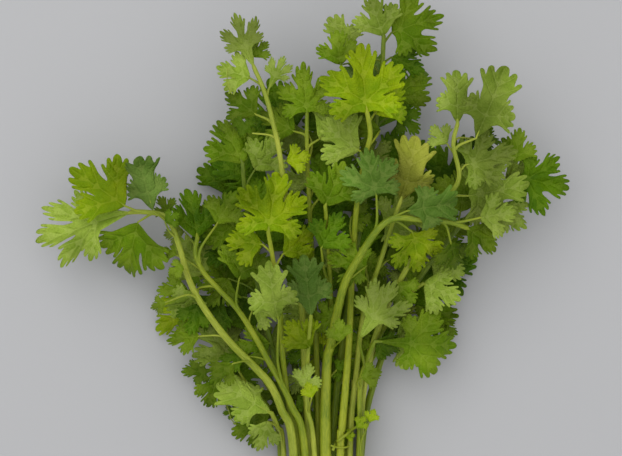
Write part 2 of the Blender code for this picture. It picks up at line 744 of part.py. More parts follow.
def weld_and_triangulate(bm):
    """Weld a tube's caps to its wall and split its faces into triangles."""
    bmesh.ops.remove_doubles(bm, verts=bm.verts, dist=SAME_PLACE * MM)
    bmesh.ops.recalc_face_normals(bm, faces=bm.faces)
    bmesh.ops.triangulate(bm, faces=bm.faces)


def blade_object(name, form, hub, length, pose, group):
    """A leaflet's blade as a thin closed solid."""
    flat, faces = flat_blade(form, length)
    places = place_blade(flat, hub, length, pose) * MM
    mesh = bpy.data.meshes.new(name)
    bm = bmesh.new()
    verts = [bm.verts.new(place) for place in places]
    for face in faces:
        bm.faces.new([verts[i] for i in face])
    bm.to_mesh(mesh)
    bm.free()
    sheet = bpy.data.objects.new(name, mesh)
    group.objects.link(sheet)
    wall = sheet.modifiers.new("Thickness", "SOLIDIFY")
    wall.thickness = BLADE_THICKNESS * MM
    wall.offset = 0
    apply_modifiers(sheet)
    edit_mesh(sheet.data, split_into_triangles)
    return sheet


def tidy_faces(bm):
    """Drop the points that fusing leaves side by side or on straight edges, then split the faces."""
    bmesh.ops.remove_doubles(bm, verts=bm.verts, dist=SAME_PLACE * MM)
    bmesh.ops.dissolve_degenerate(bm, dist=SAME_PLACE * MM, edges=bm.edges)
    bmesh.ops.dissolve_limit(bm, angle_limit=FLAT_ENOUGH, verts=bm.verts, edges=bm.edges)
    bmesh.ops.triangulate(bm, faces=bm.faces)


def split_into_triangles(bm):
    """Split a mesh's faces into triangles."""
    bmesh.ops.triangulate(bm, faces=bm.faces)


def apply_modifiers(thing):
    """Keep an object's shape as its modifiers leave it."""
    bpy.context.view_layer.update()
    shape = thing.evaluated_get(bpy.context.evaluated_depsgraph_get())
    mesh = bpy.data.meshes.new_from_object(shape)
    thing.modifiers.clear()
    thing.data = mesh


def needed_points(course):
    """Which points of a course keep its drawn line within the stated distance of it."""
    start, end = course[0], course[-1]
    if len(course) < 3:
        return [0, len(course) - 1]
    chord = end - start
    share = np.clip((course - start) @ chord / (chord @ chord), 0, 1)
    off = np.linalg.norm(course - start - share[:, None] * chord, axis=1)
    widest = int(off.argmax())
    if off[widest] < COURSE_WITHIN:
        return [0, len(course) - 1]
    before = needed_points(course[: widest + 1])
    after = needed_points(course[widest:])
    return before[:-1] + [widest + i for i in after]


def stem_tube(stem, course, radius, leaves, group):
    """A stem's own tube, flat underneath where it lies on the table."""
    needed = needed_points(course)
    points, thick = course[needed], radius[needed]
    if leaves and leaves[0][4] is None:
        form, hub, length, pose, branch = leaves[0]
        points = np.concatenate([points, rib_points(hub, length, pose)])
        thick = np.concatenate([thick, [RIB_RADIUS]])
    sides = FLAT_SIDES if stem.flat else ROUND_SIDES
    tube = tube_object(stem.name, points, thick, sides, group)
    if stem.flat:
        for vert in tube.data.vertices:
            if abs(vert.co.z) < FACET_BAND * MM:
                vert.co.z = 0
    return tube


def branch_radii(branch):
    """A branch's radius at each of its points, down to its rib's end."""
    thinned = BRANCH_RADIUS * BRANCH_THINNING
    return np.concatenate([np.linspace(BRANCH_RADIUS, thinned, len(branch) - 1), [RIB_RADIUS]])


def drop_scraps(mesh):
    """Keep only the largest of a mesh's separate bodies."""
    bm = bmesh.new()
    bm.from_mesh(mesh)
    left = set(bm.verts)
    bodies = []
    while left:
        found = [left.pop()]
        for vert in found:
            for edge in vert.link_edges:
                other = edge.other_vert(vert)
                if other in left:
                    left.remove(other)
                    found.append(other)
        bodies.append(found)
    largest = max(bodies, key=len)
    scraps = [vert for body in bodies if body is not largest for vert in body]
    bmesh.ops.delete(bm, geom=scraps, context="VERTS")
    bm.to_mesh(mesh)
    bm.free()


FUSING_WAYS = (
    ("EXACT", tidy_faces),
    ("MANIFOLD", tidy_faces),
    ("EXACT", split_into_triangles),
    ("MANIFOLD", split_into_triangles),
)


def is_sound(mesh):
    """Whether a mesh of triangles is closed and none of its faces cross."""
    bm = bmesh.new()
    bm.from_mesh(mesh)
    closed = all(len(edge.link_faces) == 2 for edge in bm.edges)
    bmesh.ops.scale(bm, vec=(1 / MM,) * 3, verts=bm.verts)
    tree = BVHTree.FromBMesh(bm)
    faces = [{vert.index for vert in face.verts} for face in bm.faces]
    bm.free()
    return closed and not any(faces[a].isdisjoint(faces[b]) for a, b in tree.overlap(tree))


def fuse(body, group):
    """Join a stem with all the pieces in a collection, by the first way that leaves it sound."""
    alone = body.data
    for solver, tidy in FUSING_WAYS:
        body.data = alone.copy()
        join = body.modifiers.new("Join", "BOOLEAN")
        join.operation = "UNION"
        join.operand_type = "COLLECTION"
        join.collection = group
        join.solver = solver
        apply_modifiers(body)
        edit_mesh(body.data, tidy)
        drop_scraps(body.data)
        if is_sound(body.data):
            break
    for piece in list(group.objects):
        bpy.data.objects.remove(piece)
    bpy.data.collections.remove(group)


def leafy_stem(stem, course, radius, leaves, parts):
    """One leafy stem: its tube, its branches and its blades, fused."""
    body = stem_tube(stem, course, radius, leaves, parts)
    group = bpy.data.collections.new(stem.name + "_pieces")
    bpy.context.scene.collection.children.link(group)
    for number, (form, hub, length, pose, branch) in enumerate(leaves):
        blade_object(f"{stem.name}_blade_{number}", form, hub, length, pose, group)
        if branch is not None:
            tube_object(f"{stem.name}_branch_{number}", branch, branch_radii(branch), BRANCH_SIDES, group)
    fuse(body, group)
    body.data.materials.clear()
    body.data.materials.append(leaf_material(stem.name + "_green", stem.tone))
    return body


def main():
    """Build the bunch with its origin under the middle of its box."""
    clear_scene()
    parts = bpy.data.collections.new("leaf_celery_bunch")
    bpy.context.scene.collection.children.link(parts)
    courses, radii, placed = lay_out()
    middle = place_of_middle(courses, placed)
    for stem, course, radius in zip(STEMS, courses, radii):
        leaves = [
            (form, hub - middle, length, pose, None if branch is None else branch - middle)
            for form, hub, length, pose, branch in placed[stem.name]
        ]
        leafy_stem(stem, course - middle, radius, leaves, parts)


main()
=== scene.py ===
"""Leaf celery bunch: the fine surface of two dozen cut leafy stems that lie on a table.

The lay of the bunch is worked out first, in millimetres, by the rules that the solids follow, so that
each finer stem lies where its solid does. Then come the toothed and veined blades, the ribbed stalks and
the small leaves between them, and last the greens, the table, the light and the camera.
"""

import math
import random
from collections import namedtuple

import bmesh
import bpy
import numpy as np
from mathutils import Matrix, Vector
from mathutils.bvhtree import BVHTree
from mathutils.geometry import delaunay_2d_cdt


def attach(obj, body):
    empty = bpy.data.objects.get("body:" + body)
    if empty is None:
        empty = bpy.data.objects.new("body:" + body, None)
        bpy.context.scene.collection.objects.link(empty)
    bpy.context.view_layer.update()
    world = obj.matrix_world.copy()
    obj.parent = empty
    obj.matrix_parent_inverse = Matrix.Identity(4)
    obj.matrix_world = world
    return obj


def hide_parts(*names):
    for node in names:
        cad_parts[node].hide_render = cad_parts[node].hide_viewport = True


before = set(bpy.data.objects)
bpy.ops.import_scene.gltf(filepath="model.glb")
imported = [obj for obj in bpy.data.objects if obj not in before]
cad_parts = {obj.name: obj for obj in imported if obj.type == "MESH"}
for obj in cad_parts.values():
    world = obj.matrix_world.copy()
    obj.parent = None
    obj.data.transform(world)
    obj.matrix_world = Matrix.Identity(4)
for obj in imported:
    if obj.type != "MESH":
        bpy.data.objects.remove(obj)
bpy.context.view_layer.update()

# A millimetre, in metres
MM = 0.001

# A branch's thickness, and the room that stems and leaves keep from each other and the table, in millimetres
BRANCH_RADIUS = 1.15
RIB_SHARE = 0.17
STEM_GAP = 1.4
BLADE_CLEARANCE = 1.25
TUBE_CLEARANCE = 0.75
LOWEST_BLADE = 0.75
LOWEST_HUB = 1.6

# How finely the stems are drawn, and where a low stem's flat underside lies, as a share of its radius
STEM_SPACING = 3.0
SAME_PLACE = 0.02
FLAT_SIDES = 8
ROUND_SIDES = 6
FLAT_SHARE = math.cos(math.pi / FLAT_SIDES)
NOT_ALONG_A_STEM = (0.13, 0.21, 0.97)

# How the stems taper and how they are pushed apart, a little in each round
TAPER_FROM = 0.25
SPREAD_ROUNDS = 160
NEW_PAIRS_AFTER = 10
NEIGHBOUR_REACH = 12.0
PUSH_SHARE = 0.22
LONGEST_PUSH = 0.5
PUSH_SMOOTHING = 0.35
FLOOR_MARGIN = 0.4

# How a blade waves, and how a branch leaves its stem
WAVE_HEIGHT = 0.05
WAVES_AROUND = 4
BRANCH_REACH = 0.35
BRANCH_STEPS = (0.0, 0.4, 1.0)

# How far a leaflet arches where its table entry states nothing, and how far it may tilt, in degrees
ARCH_DRAW = (-30, 45)
TILT_RANGE = 16.0

# Changes of size, place, height and tilt that a leaflet tries until it clears all others
SIZE_TRIES = (1.0, 0.88, 0.76)
SHIFT_TRIES = (0, 4, -4, 8)
HEIGHT_TRIES = (0, 2, -2, 4, -4, 7, -7, 10, -10, 14, -14, 18, -18)
TILT_TRIES = 3
END_TILTS = ((12, 0), (-12, 0), (0, 14), (0, -14), (22, 0), (-22, 0))

# A leaflet: where its branch leaves the stem, its foot, its way in degrees, its length and how it bends
Leaf = namedtuple("Leaf", "along hub heading length form pitch droop arch", defaults=(None,))
Stem = namedtuple("Stem", "name flat cut_radius tip_radius tone course leaves")

# A fine leaflet, and what is asked of a small leaf before its place is found
FineLeaf = namedtuple("FineLeaf", "form hub length pose branch look seed radii")
Wish = namedtuple("Wish", "place heading spread lengths heights forms looks")

# A leaflet's form: where its lobes part, how deep they part, and each lobe's
# turn in degrees, reach and half width, as shares of the leaflet's length
FORMS = {
    "fan": (0.15, 0.46, ((-52, 0.70, 0.24), (0, 0.85, 0.25), (52, 0.70, 0.24))),
    "broad": (0.15, 0.48, (
        (-100, 0.52, 0.17), (-50, 0.74, 0.21), (0, 0.85, 0.22), (50, 0.74, 0.21), (100, 0.52, 0.17),
    )),
    "long": (0.40, 0.46, (
        (-98, 0.32, 0.12), (-48, 0.47, 0.16), (0, 0.60, 0.17), (48, 0.47, 0.16), (98, 0.32, 0.12),
    )),
    "finger": (0.34, 0.40, (
        (-66, 0.40, 0.10), (-33, 0.58, 0.11), (0, 0.66, 0.12), (33, 0.58, 0.11), (66, 0.40, 0.10),
    )),
    "ovate": (0.30, 0.70, ((-72, 0.42, 0.20), (0, 0.70, 0.30), (72, 0.42, 0.20))),
}

# Half of a lobe's edge, from its foot to its tip: shares of its reach and of its half width
LOBE_EDGE = ((0.74, 1.00), (0.78, 0.48))
LOBE_FOOT = (0.22, 0.75)

# The stems from the top of the pile to the table, each with its course and its leaves
STEMS = (
    Stem("left_long_stem", False, 2.6, 1.3, "pale", (
        (-13, -95, 20), (-15, 0, 20), (-21, 22, 21), (-26, 34, 24), (-34, 43, 28), (-48, 57, 33),
        (-60, 73, 37), (-68, 88, 39), (-73, 105, 39), (-79, 119, 38), (-90, 122, 36), (-97, 122, 34),
    ), (
        Leaf(1.00, None, 195, 54, "finger", 0, 20),
        Leaf(0.97, (-100, 125, 39), 144, 34, "fan", 8, 15),
        Leaf(0.93, (-94, 117, 36), 256, 34, "fan", -6, 15),
        Leaf(0.90, (-86, 123, 40), 104, 30, "ovate", 15, 10, 90),
    )),
    Stem("big_right_stem", False, 3.1, 1.3, "mid", (
        (1, -97, 20), (0, 0, 20), (1, 44, 23), (3, 55, 28), (6, 71, 37), (10, 87, 46), (17, 100, 53),
        (24, 111, 57), (30, 117, 59), (36, 119, 60), (47, 118, 60), (61, 117, 57), (70, 114, 53),
    ), (
        Leaf(1.00, None, 322, 21, "fan", -12, 25),
        Leaf(0.96, (76, 119, 56), 8, 20, "fan", -8, 20),
        Leaf(0.82, (39, 122, 62), 10, 29, "ovate", 5, 20, 100),
        Leaf(0.84, (43, 112, 56), 284, 25, "broad", -14, 25),
        Leaf(0.94, (62, 107, 50), 286, 18, "fan", -15, 25),
        Leaf(0.79, (25, 130, 62), 108, 26, "broad", 8, 25),
    )),
    Stem("top_centre_stem", False, 2.2, 1.2, "bright", (
        (9, -93, 20), (8, 0, 20), (9, 14, 20), (12, 51, 24), (13, 75, 31), (14, 100, 39), (16, 128, 50),
        (20, 150, 59), (22, 160, 62), (20.5, 170, 64),
    ), (
        Leaf(1.00, None, 98, 37, "broad", 4, 25),
        Leaf(0.97, (24, 170, 62), 42, 24, "fan", -8, 20),
        Leaf(0.90, (17, 152, 62), 148, 27, "fan", -6, 20),
    )),
    Stem("right_low_stem", False, 2.0, 1.1, "mid", (
        (16, -90, 20), (18, 0, 20), (18, 33, 21), (21, 46, 27), (25, 57, 34),
    ), (
        Leaf(1.00, None, 356, 47, "long", -6, 20),
        Leaf(0.90, (17, 58, 36), 57, 37, "finger", 12, 20),
        Leaf(0.80, (18, 39, 26), 12, 12, "fan", 10, 10),
    )),
    Stem("left_middle_stem", False, 2.2, 1.2, "mid", (
        (-7, -92, 20), (-10, 0, 20), (-18, 24, 22), (-29, 46, 27), (-36, 60, 31), (-44, 73, 34),
        (-54, 84, 36), (-61, 92, 37), (-65, 101, 37), (-64, 109, 36),
    ), (
        Leaf(1.00, None, 96, 27, "fan", 0, 20),
        Leaf(0.59, (-23, 68, 40), 103, 32, "ovate", 8, 20),
        Leaf(0.86, (-63, 84, 34), 228, 24, "ovate", -15, 20),
        Leaf(0.78, (-43, 88, 40), 72, 26, "fan", 8, 20),
        Leaf(0.93, (-54, 116, 38), 62, 20, "fan", 5, 15),
    )),
    Stem("young_centre_stem", False, 1.7, 1.0, "pale", (
        (-4, -90, 20), (-6, 0, 20), (-9, 22, 21), (-9, 42, 25), (-8, 58, 34), (-7, 70, 42),
    ), (
        Leaf(1.00, None, 96, 33, "ovate", 4, 20),
        Leaf(0.92, (-10, 57, 34), 128, 19, "fan", 8, 15),
        Leaf(0.82, (-11, 33, 27), 70, 14, "fan", 12, 10),
    )),
    Stem("pale_yellow_stem", False, 1.8, 1.1, "pale", (
        (12, -92, 15), (13, 0, 15), (16, 38, 18), (20, 73, 27), (26, 92, 36), (31, 108, 44), (34, 118, 50),
        (37, 127, 56),
    ), (
        Leaf(1.00, None, 73, 34, "ovate", 18, 25, 60),
        Leaf(0.80, (31, 97, 40), 22, 28, "fan", -8, 25),
        Leaf(0.74, (21, 96, 42), 112, 24, "fan", 5, 20),
    )),
    Stem("right_top_stem", False, 2.1, 1.1, "pale", (
        (17, -95, 14.5), (18, 0, 14), (20, 33, 17), (27, 63, 26), (38, 88, 35), (50, 110, 43),
        (60, 128, 50), (66, 139, 54), (63, 155, 56), (65, 165, 57),
    ), (
        Leaf(1.00, None, 90, 28, "ovate", 8, 20),
        Leaf(0.95, (74, 158, 57), 68, 40, "ovate", 12, 30, -80),
        Leaf(0.90, (69, 145, 57), 14, 27, "broad", 5, 20),
        Leaf(0.86, (71, 130, 53), 10, 36, "broad", 0, 25),
    )),
    Stem("centre_bright_stem", False, 1.9, 1.1, "bright", (
        (-11, -94, 15), (-13, 0, 15), (-18, 22, 16), (-21, 45, 22), (-22, 65, 31), (-24, 85, 43),
        (-26, 100, 52), (-28, 112, 58),
    ), (
        Leaf(1.00, None, 82, 33, "broad", 5, 25),
        Leaf(0.93, (-31, 106, 52), 176, 20, "fan", -10, 20),
        Leaf(0.88, (-21, 101, 52), 35, 23, "fan", -5, 20),
    )),
    Stem("centre_top_stem", False, 1.9, 1.0, "mid", (
        (0, -94, 15), (1, 0, 14.5), (2, 44, 18), (3, 75, 27), (2, 100, 38), (1, 113, 46), (0, 125, 54),
    ), (
        Leaf(1.00, None, 68, 28, "fan", 8, 20),
        Leaf(0.79, (-2, 104, 50), 58, 21, "fan", 10, 15),
    )),
    Stem("top_left_stem", False, 2.0, 1.1, "pale", (
        (-6, -91, 15), (-8, 0, 14.5), (-10, 38, 18), (-12, 78, 30), (-17, 113, 42), (-21, 140, 52),
        (-23, 154, 56), (-26, 167, 57), (-28, 175, 57), (-31, 184, 56), (-35, 193, 54),
    ), (
        Leaf(1.00, None, 112, 30, "finger", 0, 20),
        Leaf(0.93, (-28, 182, 56), 64, 20, "finger", 5, 30, 100),
        Leaf(0.95, (-37, 188, 52), 160, 19, "fan", -5, 10),
        Leaf(0.90, (-34, 170, 55), 140, 20, "fan", -5, 20),
    )),
    Stem("lower_left_pale_stem", False, 1.8, 1.2, "pale", (
        (-18, -90, 14.5), (-21, 0, 14.5), (-24, 12, 18), (-27, 20, 25),
    ), (
        Leaf(1.00, None, 148, 34, "ovate", 8, 25, 120),
        Leaf(0.90, (-31, 15, 14), 204, 20, "fan", -10, 15),
    )),
    Stem("upper_left_stem", False, 2.0, 1.1, "dark", (
        (-13, -93, 9.5), (-16, 0, 9.5), (-24, 40, 15), (-33, 80, 28), (-38, 115, 38), (-40, 133, 43),
        (-41, 146, 45),
    ), (
        Leaf(1.00, None, 114, 27, "fan", 0, 20),
        Leaf(0.94, (-35, 143, 44), 52, 22, "fan", 5, 20),
        Leaf(0.84, (-42, 114, 36), 158, 27, "fan", -5, 20),
        Leaf(0.80, (-30, 106, 34), 70, 28, "fan", 0, 20),
    )),
    Stem("top_back_stem", False, 2.1, 1.2, "dark", (
        (3, -95, 9.5), (4, 0, 9.5), (8, 45, 13), (14, 90, 26), (20, 130, 38), (25, 165, 47), (28, 190, 50),
        (29, 209, 50),
    ), (
        Leaf(1.00, None, 112, 23, "fan", 5, 20),
        Leaf(0.97, (33, 211, 49), 20, 30, "broad", -5, 25),
        Leaf(0.94, (33, 199, 45), 335, 19, "fan", -8, 15),
        Leaf(0.87, (34, 178, 46), 44, 25, "fan", 0, 20),
        Leaf(0.93, (16, 201, 48), 128, 24, "ovate", 5, 20, -90),
        Leaf(0.88, (23, 185, 44), 112, 22, "fan", 0, 20),
    )),
    Stem("small_top_stem", False, 1.8, 1.0, "mid", (
        (-2, -91, 9.5), (-3, 0, 9.5), (-4, 45, 14), (-6, 90, 28), (-8, 130, 40), (-9, 155, 46),
        (-9, 171, 48),
    ), (
        Leaf(1.00, None, 94, 25, "broad", 5, 20),
        Leaf(0.96, (-15, 162, 44), 152, 22, "fan", -8, 20),
        Leaf(0.93, (-3, 158, 46), 42, 28, "fan", 0, 20),
        Leaf(0.80, (-2, 130, 40), 50, 28, "fan", 0, 20),
    )),
    Stem("dark_right_stem", False, 2.1, 1.1, "dark", (
        (14, -92, 9), (19, 0, 9), (27, 40, 13), (42, 78, 22), (60, 105, 29), (76, 124, 33), (88, 135, 34),
        (98, 140, 33),
    ), (
        Leaf(1.00, None, 344, 28, "broad", -5, 20),
        Leaf(0.96, (95, 147, 35), 77, 18, "fan", 5, 20),
        Leaf(0.90, (88, 126, 30), 318, 20, "fan", -10, 20),
        Leaf(0.82, (68, 122, 34), 78, 28, "fan", 0, 20),
        Leaf(0.72, (54, 98, 28), 332, 21, "fan", 0, 20),
    )),
    Stem("right_middle_stem", False, 1.9, 1.0, "mid", (
        (9, -94, 9), (11, 0, 9), (20, 40, 14), (33, 68, 22), (43, 81, 27), (50, 86, 28),
    ), (
        Leaf(1.00, None, 337, 22, "fan", 0, 20),
        Leaf(0.88, (40, 69, 22), 300, 24, "fan", -12, 20),
        Leaf(0.82, (25, 74, 26), 118, 24, "fan", 5, 20),
    )),
    Stem("lower_left_stem", False, 1.8, 1.0, "mid", (
        (-19, -90, 8.5), (-23, 0, 8.5), (-28, 20, 11), (-38, 32, 15), (-47, 39, 17), (-54, 42, 17),
    ), (
        Leaf(1.00, None, 190, 21, "long", -10, 20),
        Leaf(0.86, (-47, 47, 20), 128, 26, "fan", 0, 20),
        Leaf(0.93, (-55, 37, 14), 254, 18, "fan", -5, 20),
    )),
    Stem("low_far_left_stem", True, 2.2, 1.2, "mid", (
        (-14, -94, 0), (-16, 0, 0), (-28, 30, 0), (-44, 55, 0), (-55, 74, 3), (-61, 88, 8),
    ), (
        Leaf(1.00, None, 124, 27, "fan", 5, 20),
        Leaf(0.90, (-68, 73, 9), 214, 24, "fan", 0, 20),
        Leaf(0.95, (-70, 82, 10), 182, 17, "fan", 0, 20),
        Leaf(0.85, (-48, 78, 12), 74, 30, "fan", 5, 20),
        Leaf(0.68, (-36, 58, 10), 110, 28, "fan", 0, 20),
    )),
    Stem("low_left_stem", True, 2.2, 1.2, "dark", (
        (-8, -90, 0), (-10, 0, 0), (-16, 45, 0), (-30, 85, 0), (-40, 112, 4), (-48, 130, 9),
    ), (
        Leaf(1.00, None, 96, 30, "fan", 4, 20),
        Leaf(0.84, (-44, 108, 12), 168, 30, "fan", 0, 20),
        Leaf(0.80, (-26, 102, 15), 70, 31, "fan", 5, 20),
        Leaf(0.64, (-16, 80, 10), 60, 30, "fan", 0, 20),
    )),
    Stem("low_centre_left_stem", True, 2.2, 1.2, "dark", (
        (-2, -92, 0), (-3, 0, 0), (-5, 50, 0), (-10, 100, 0), (-15, 138, 5), (-19, 160, 12),
    ), (
        Leaf(1.00, None, 110, 33, "fan", 4, 20),
        Leaf(0.85, (-22, 134, 14), 158, 31, "fan", 0, 20),
        Leaf(0.78, (-2, 118, 16), 48, 31, "fan", 5, 20),
        Leaf(0.93, (-27, 155, 14), 165, 27, "fan", 0, 20),
    )),
    Stem("low_centre_right_stem", True, 2.2, 1.2, "dark", (
        (4, -90, 0), (4, 0, 0), (6, 50, 0), (12, 100, 0), (19, 143, 6), (24, 165, 14),
    ), (
        Leaf(1.00, None, 76, 35, "fan", 4, 20),
        Leaf(0.90, (10, 156, 14), 134, 30, "fan", 0, 20),
        Leaf(0.84, (28, 144, 14), 28, 31, "fan", 5, 20),
        Leaf(0.70, (5, 112, 12), 112, 30, "fan", 0, 20),
    )),
    Stem("low_right_stem", True, 2.2, 1.2, "dark", (
        (10, -93, 0), (11, 0, 0), (19, 45, 0), (36, 85, 0), (50, 112, 4), (60, 130, 10),
    ), (
        Leaf(1.00, None, 58, 35, "fan", 4, 20),
        Leaf(0.88, (44, 122, 14), 104, 31, "fan", 5, 20),
        Leaf(0.85, (58, 104, 12), 322, 20, "fan", 0, 20),
        Leaf(0.72, (30, 96, 12), 96, 30, "fan", 0, 20),
        Leaf(0.70, (45, 90, 10), 12, 29, "fan", 0, 20),
    )),
    Stem("low_far_right_stem", True, 2.2, 1.2, "mid", (
        (16, -91, 0), (18, 0, 0), (18.5, 32, 0), (26, 50, 0), (36, 64, 4), (46, 73, 9),
    ), (
        Leaf(1.00, None, 352, 24, "fan", 4, 20),
        Leaf(0.86, (38, 57, 10), 322, 21, "fan", 0, 20),
        Leaf(0.92, (42, 77, 12), 40, 26, "fan", 5, 20),
        Leaf(0.76, (26, 59, 10), 86, 28, "fan", 0, 20),
    )),
)


def curve_point(before, start, end, after, t):
    """The place a share t of the way from start to end, on the smooth curve through all four."""
    return 0.5 * (
        2 * start
        + (end - before) * t
        + (2 * before - 5 * start + 4 * end - after) * t**2
        + (3 * start - before - 3 * end + after) * t**3
    )


def smooth_course(points, spacing):
    """Points about spacing apart on the smooth curve that runs through the given points."""
    known = [np.array(p, float) for p in points]
    known = [2 * known[0] - known[1]] + known + [2 * known[-1] - known[-2]]
    course = []
    for before, start, end, after in zip(known, known[1:], known[2:], known[3:]):
        count = max(1, round(np.linalg.norm(end - start) / spacing))
        course += [curve_point(before, start, end, after, step / count) for step in range(count)]
    course.append(known[-2])
    return np.array(course)


def shares_along(points):
    """Each point's share of the way along a course."""
    steps = np.linalg.norm(np.diff(points, axis=0), axis=1)
    return np.concatenate([[0], np.cumsum(steps)]) / steps.sum()


def stem_radii(stem, points):
    """A stem's radius at each point: full at first, then tapering to its tip."""
    share = shares_along(points)
    taper = np.clip((share - TAPER_FROM) / (1 - TAPER_FROM), 0, 1)
    return stem.cut_radius + (stem.tip_radius - stem.cut_radius) * taper


def close_pairs(places, owner, reach):
    """Pairs of points of different stems that lie within reach of each other."""
    size = (places**2).sum(axis=1)
    apart = size[:, None] + size[None] - 2 * places @ places.T
    near = (apart < reach**2) & (owner[:, None] < owner[None])
    return np.nonzero(near)


def spread_stems(stems):
    """Courses and radii of all stems, pushed apart until they lie beside and on each other."""
    courses = [smooth_course(stem.course, STEM_SPACING) for stem in stems]
    radii = [stem_radii(stem, course) for stem, course in zip(stems, courses)]
    for stem, course, radius in zip(stems, courses, radii):
        if stem.flat:
            course[:, 2] = np.maximum(course[:, 2], radius * FLAT_SHARE)
    start = np.concatenate(courses)
    radius = np.concatenate(radii)
    owner = np.concatenate([np.full(len(course), i) for i, course in enumerate(courses)])
    flat = np.array([stems[i].flat for i in owner])
    first = np.concatenate([[True], owner[1:] != owner[:-1]])
    last = np.concatenate([owner[1:] != owner[:-1], [True]])
    moved = np.zeros_like(start)
    for turn in range(SPREAD_ROUNDS):
        places = start + moved
        if turn % NEW_PAIRS_AFTER == 0:
            one, other = close_pairs(places, owner, NEIGHBOUR_REACH)
        between = places[one] - places[other]
        apart = np.linalg.norm(between, axis=1)
        lack = np.clip(radius[one] + radius[other] + STEM_GAP - apart, 0, None)
        push = between * (PUSH_SHARE * lack / np.maximum(apart, SAME_PLACE))[:, None]
        step = np.zeros_like(start)
        np.add.at(step, one, push)
        np.add.at(step, other, -push)
        length = np.linalg.norm(step, axis=1)
        step *= (np.minimum(length, LONGEST_PUSH) / np.maximum(length, 1e-9))[:, None]
        moved += step
        mean = moved.copy()
        mean[1:-1] = 0.5 * (moved[:-2] + moved[2:])
        mean[first | last] = moved[first | last]
        moved += PUSH_SMOOTHING * (mean - moved)
        moved[first, 1] = 0
        moved[flat, 2] = 0
        low = radius + FLOOR_MARGIN - start[:, 2]
        moved[~flat, 2] = np.maximum(moved[~flat, 2], low[~flat])
    places = start + moved
    return [places[owner == i] for i in range(len(stems))], radii


def flat_ways(turn):
    """The way that lies turn degrees from X in the plane, and the way to its left."""
    angle = math.radians(turn)
    way = np.array([math.cos(angle), math.sin(angle)])
    return way, np.array([-way[1], way[0]])


def edge_points(form, length):
    """A leaflet's flat edge, foot at zero and tip along X, and last the place its lobes part from."""
    palm, depth, lobes = FORMS[form]
    centre = np.array([palm * length, 0.0])

    def on_lobe(turn, along, across):
        way, side = flat_ways(turn)
        return centre + way * along * length + side * across * length

    edge = [np.zeros(2)]
    for number, (turn, reach, width) in enumerate(lobes):
        if number == 0:
            edge.append(on_lobe(turn, LOBE_FOOT[0] * reach, -LOBE_FOOT[1] * width))
        else:
            before = lobes[number - 1]
            edge.append(on_lobe((turn + before[0]) / 2, depth * min(reach, before[1]), 0))
        edge += [on_lobe(turn, a * reach, -w * width) for a, w in LOBE_EDGE]
        edge.append(on_lobe(turn, reach, 0))
        edge += [on_lobe(turn, a * reach, w * width) for a, w in reversed(LOBE_EDGE)]
    edge.append(on_lobe(turn, LOBE_FOOT[0] * reach, LOBE_FOOT[1] * width))
    return edge + [centre]


def flat_blade(form, length):
    """A leaflet as flat points and the triangles between them."""
    points = [Vector(place) for place in edge_points(form, length)]
    count = len(points) - 1
    around = [(i, (i + 1) % count) for i in range(count)]
    made = delaunay_2d_cdt(points, around, [], 1, 1e-6)
    return np.array([tuple(p) for p in made[0]]), [tuple(face) for face in made[2]]


def blade_frame(heading, pitch, roll):
    """Forward, sideways and upward directions of a leaflet."""
    h, p, r = (math.radians(a) for a in (heading, pitch, roll))
    forward = np.array([math.cos(h) * math.cos(p), math.sin(h) * math.cos(p), math.sin(p)])
    level = np.array([-math.sin(h), math.cos(h), 0.0])
    upright = np.cross(forward, level)
    side = level * math.cos(r) + upright * math.sin(r)
    return forward, side, np.cross(forward, side)


def curved(amount, along):
    """Where a strip bent by amount per unit length comes to: its reach and its fall."""
    if abs(amount) < 1e-6:
        return along, 0 * along
    return np.sin(amount * along) / amount, (1 - np.cos(amount * along)) / amount


def place_blade(flat, hub, length, pose):
    """A flat leaflet's points bent, arched and waved in its place."""
    heading, pitch, roll, droop, arch, phase = pose
    forward, side, up = blade_frame(heading, pitch, roll)
    reach, fall = curved(math.radians(droop) / length, flat[:, 0])
    across, sag = curved(math.radians(arch) / length, flat[:, 1])
    turn = np.arctan2(flat[:, 1], flat[:, 0])
    out = (flat**2).sum(axis=1) / length**2
    height = WAVE_HEIGHT * length * np.sin(WAVES_AROUND * turn + phase) * out - fall - sag
    return hub + reach[:, None] * forward + across[:, None] * side + height[:, None] * up


def point_normals(points, faces):
    """The average normal at each point of a triangle mesh."""
    index = np.array(faces)
    corner = [points[index[:, i]] for i in range(3)]
    normal = np.cross(corner[1] - corner[0], corner[2] - corner[0])
    total = np.zeros_like(points)
    for i in range(3):
        np.add.at(total, index[:, i], normal)
    return total / np.linalg.norm(total, axis=1)[:, None]


def thick_tree(points, faces, half):
    """A search tree of a blade's middle, its two faces, each half away from it, and its rim."""
    normal = point_normals(points, faces) * half
    both = np.concatenate([points + normal, points, points - normal])
    count = len(points)
    layers = [tuple(i + count * layer for i in face) for layer in range(3) for face in faces]
    sides = [(face[k], face[(k + 1) % 3]) for face in faces for k in range(3)]
    rim = [(a, b) for a, b in sides if (b, a) not in set(sides)]
    walls = [(a, b, b + 2 * count, a + 2 * count) for a, b in rim]
    return BVHTree.FromPolygons([tuple(p) for p in both], layers + walls)


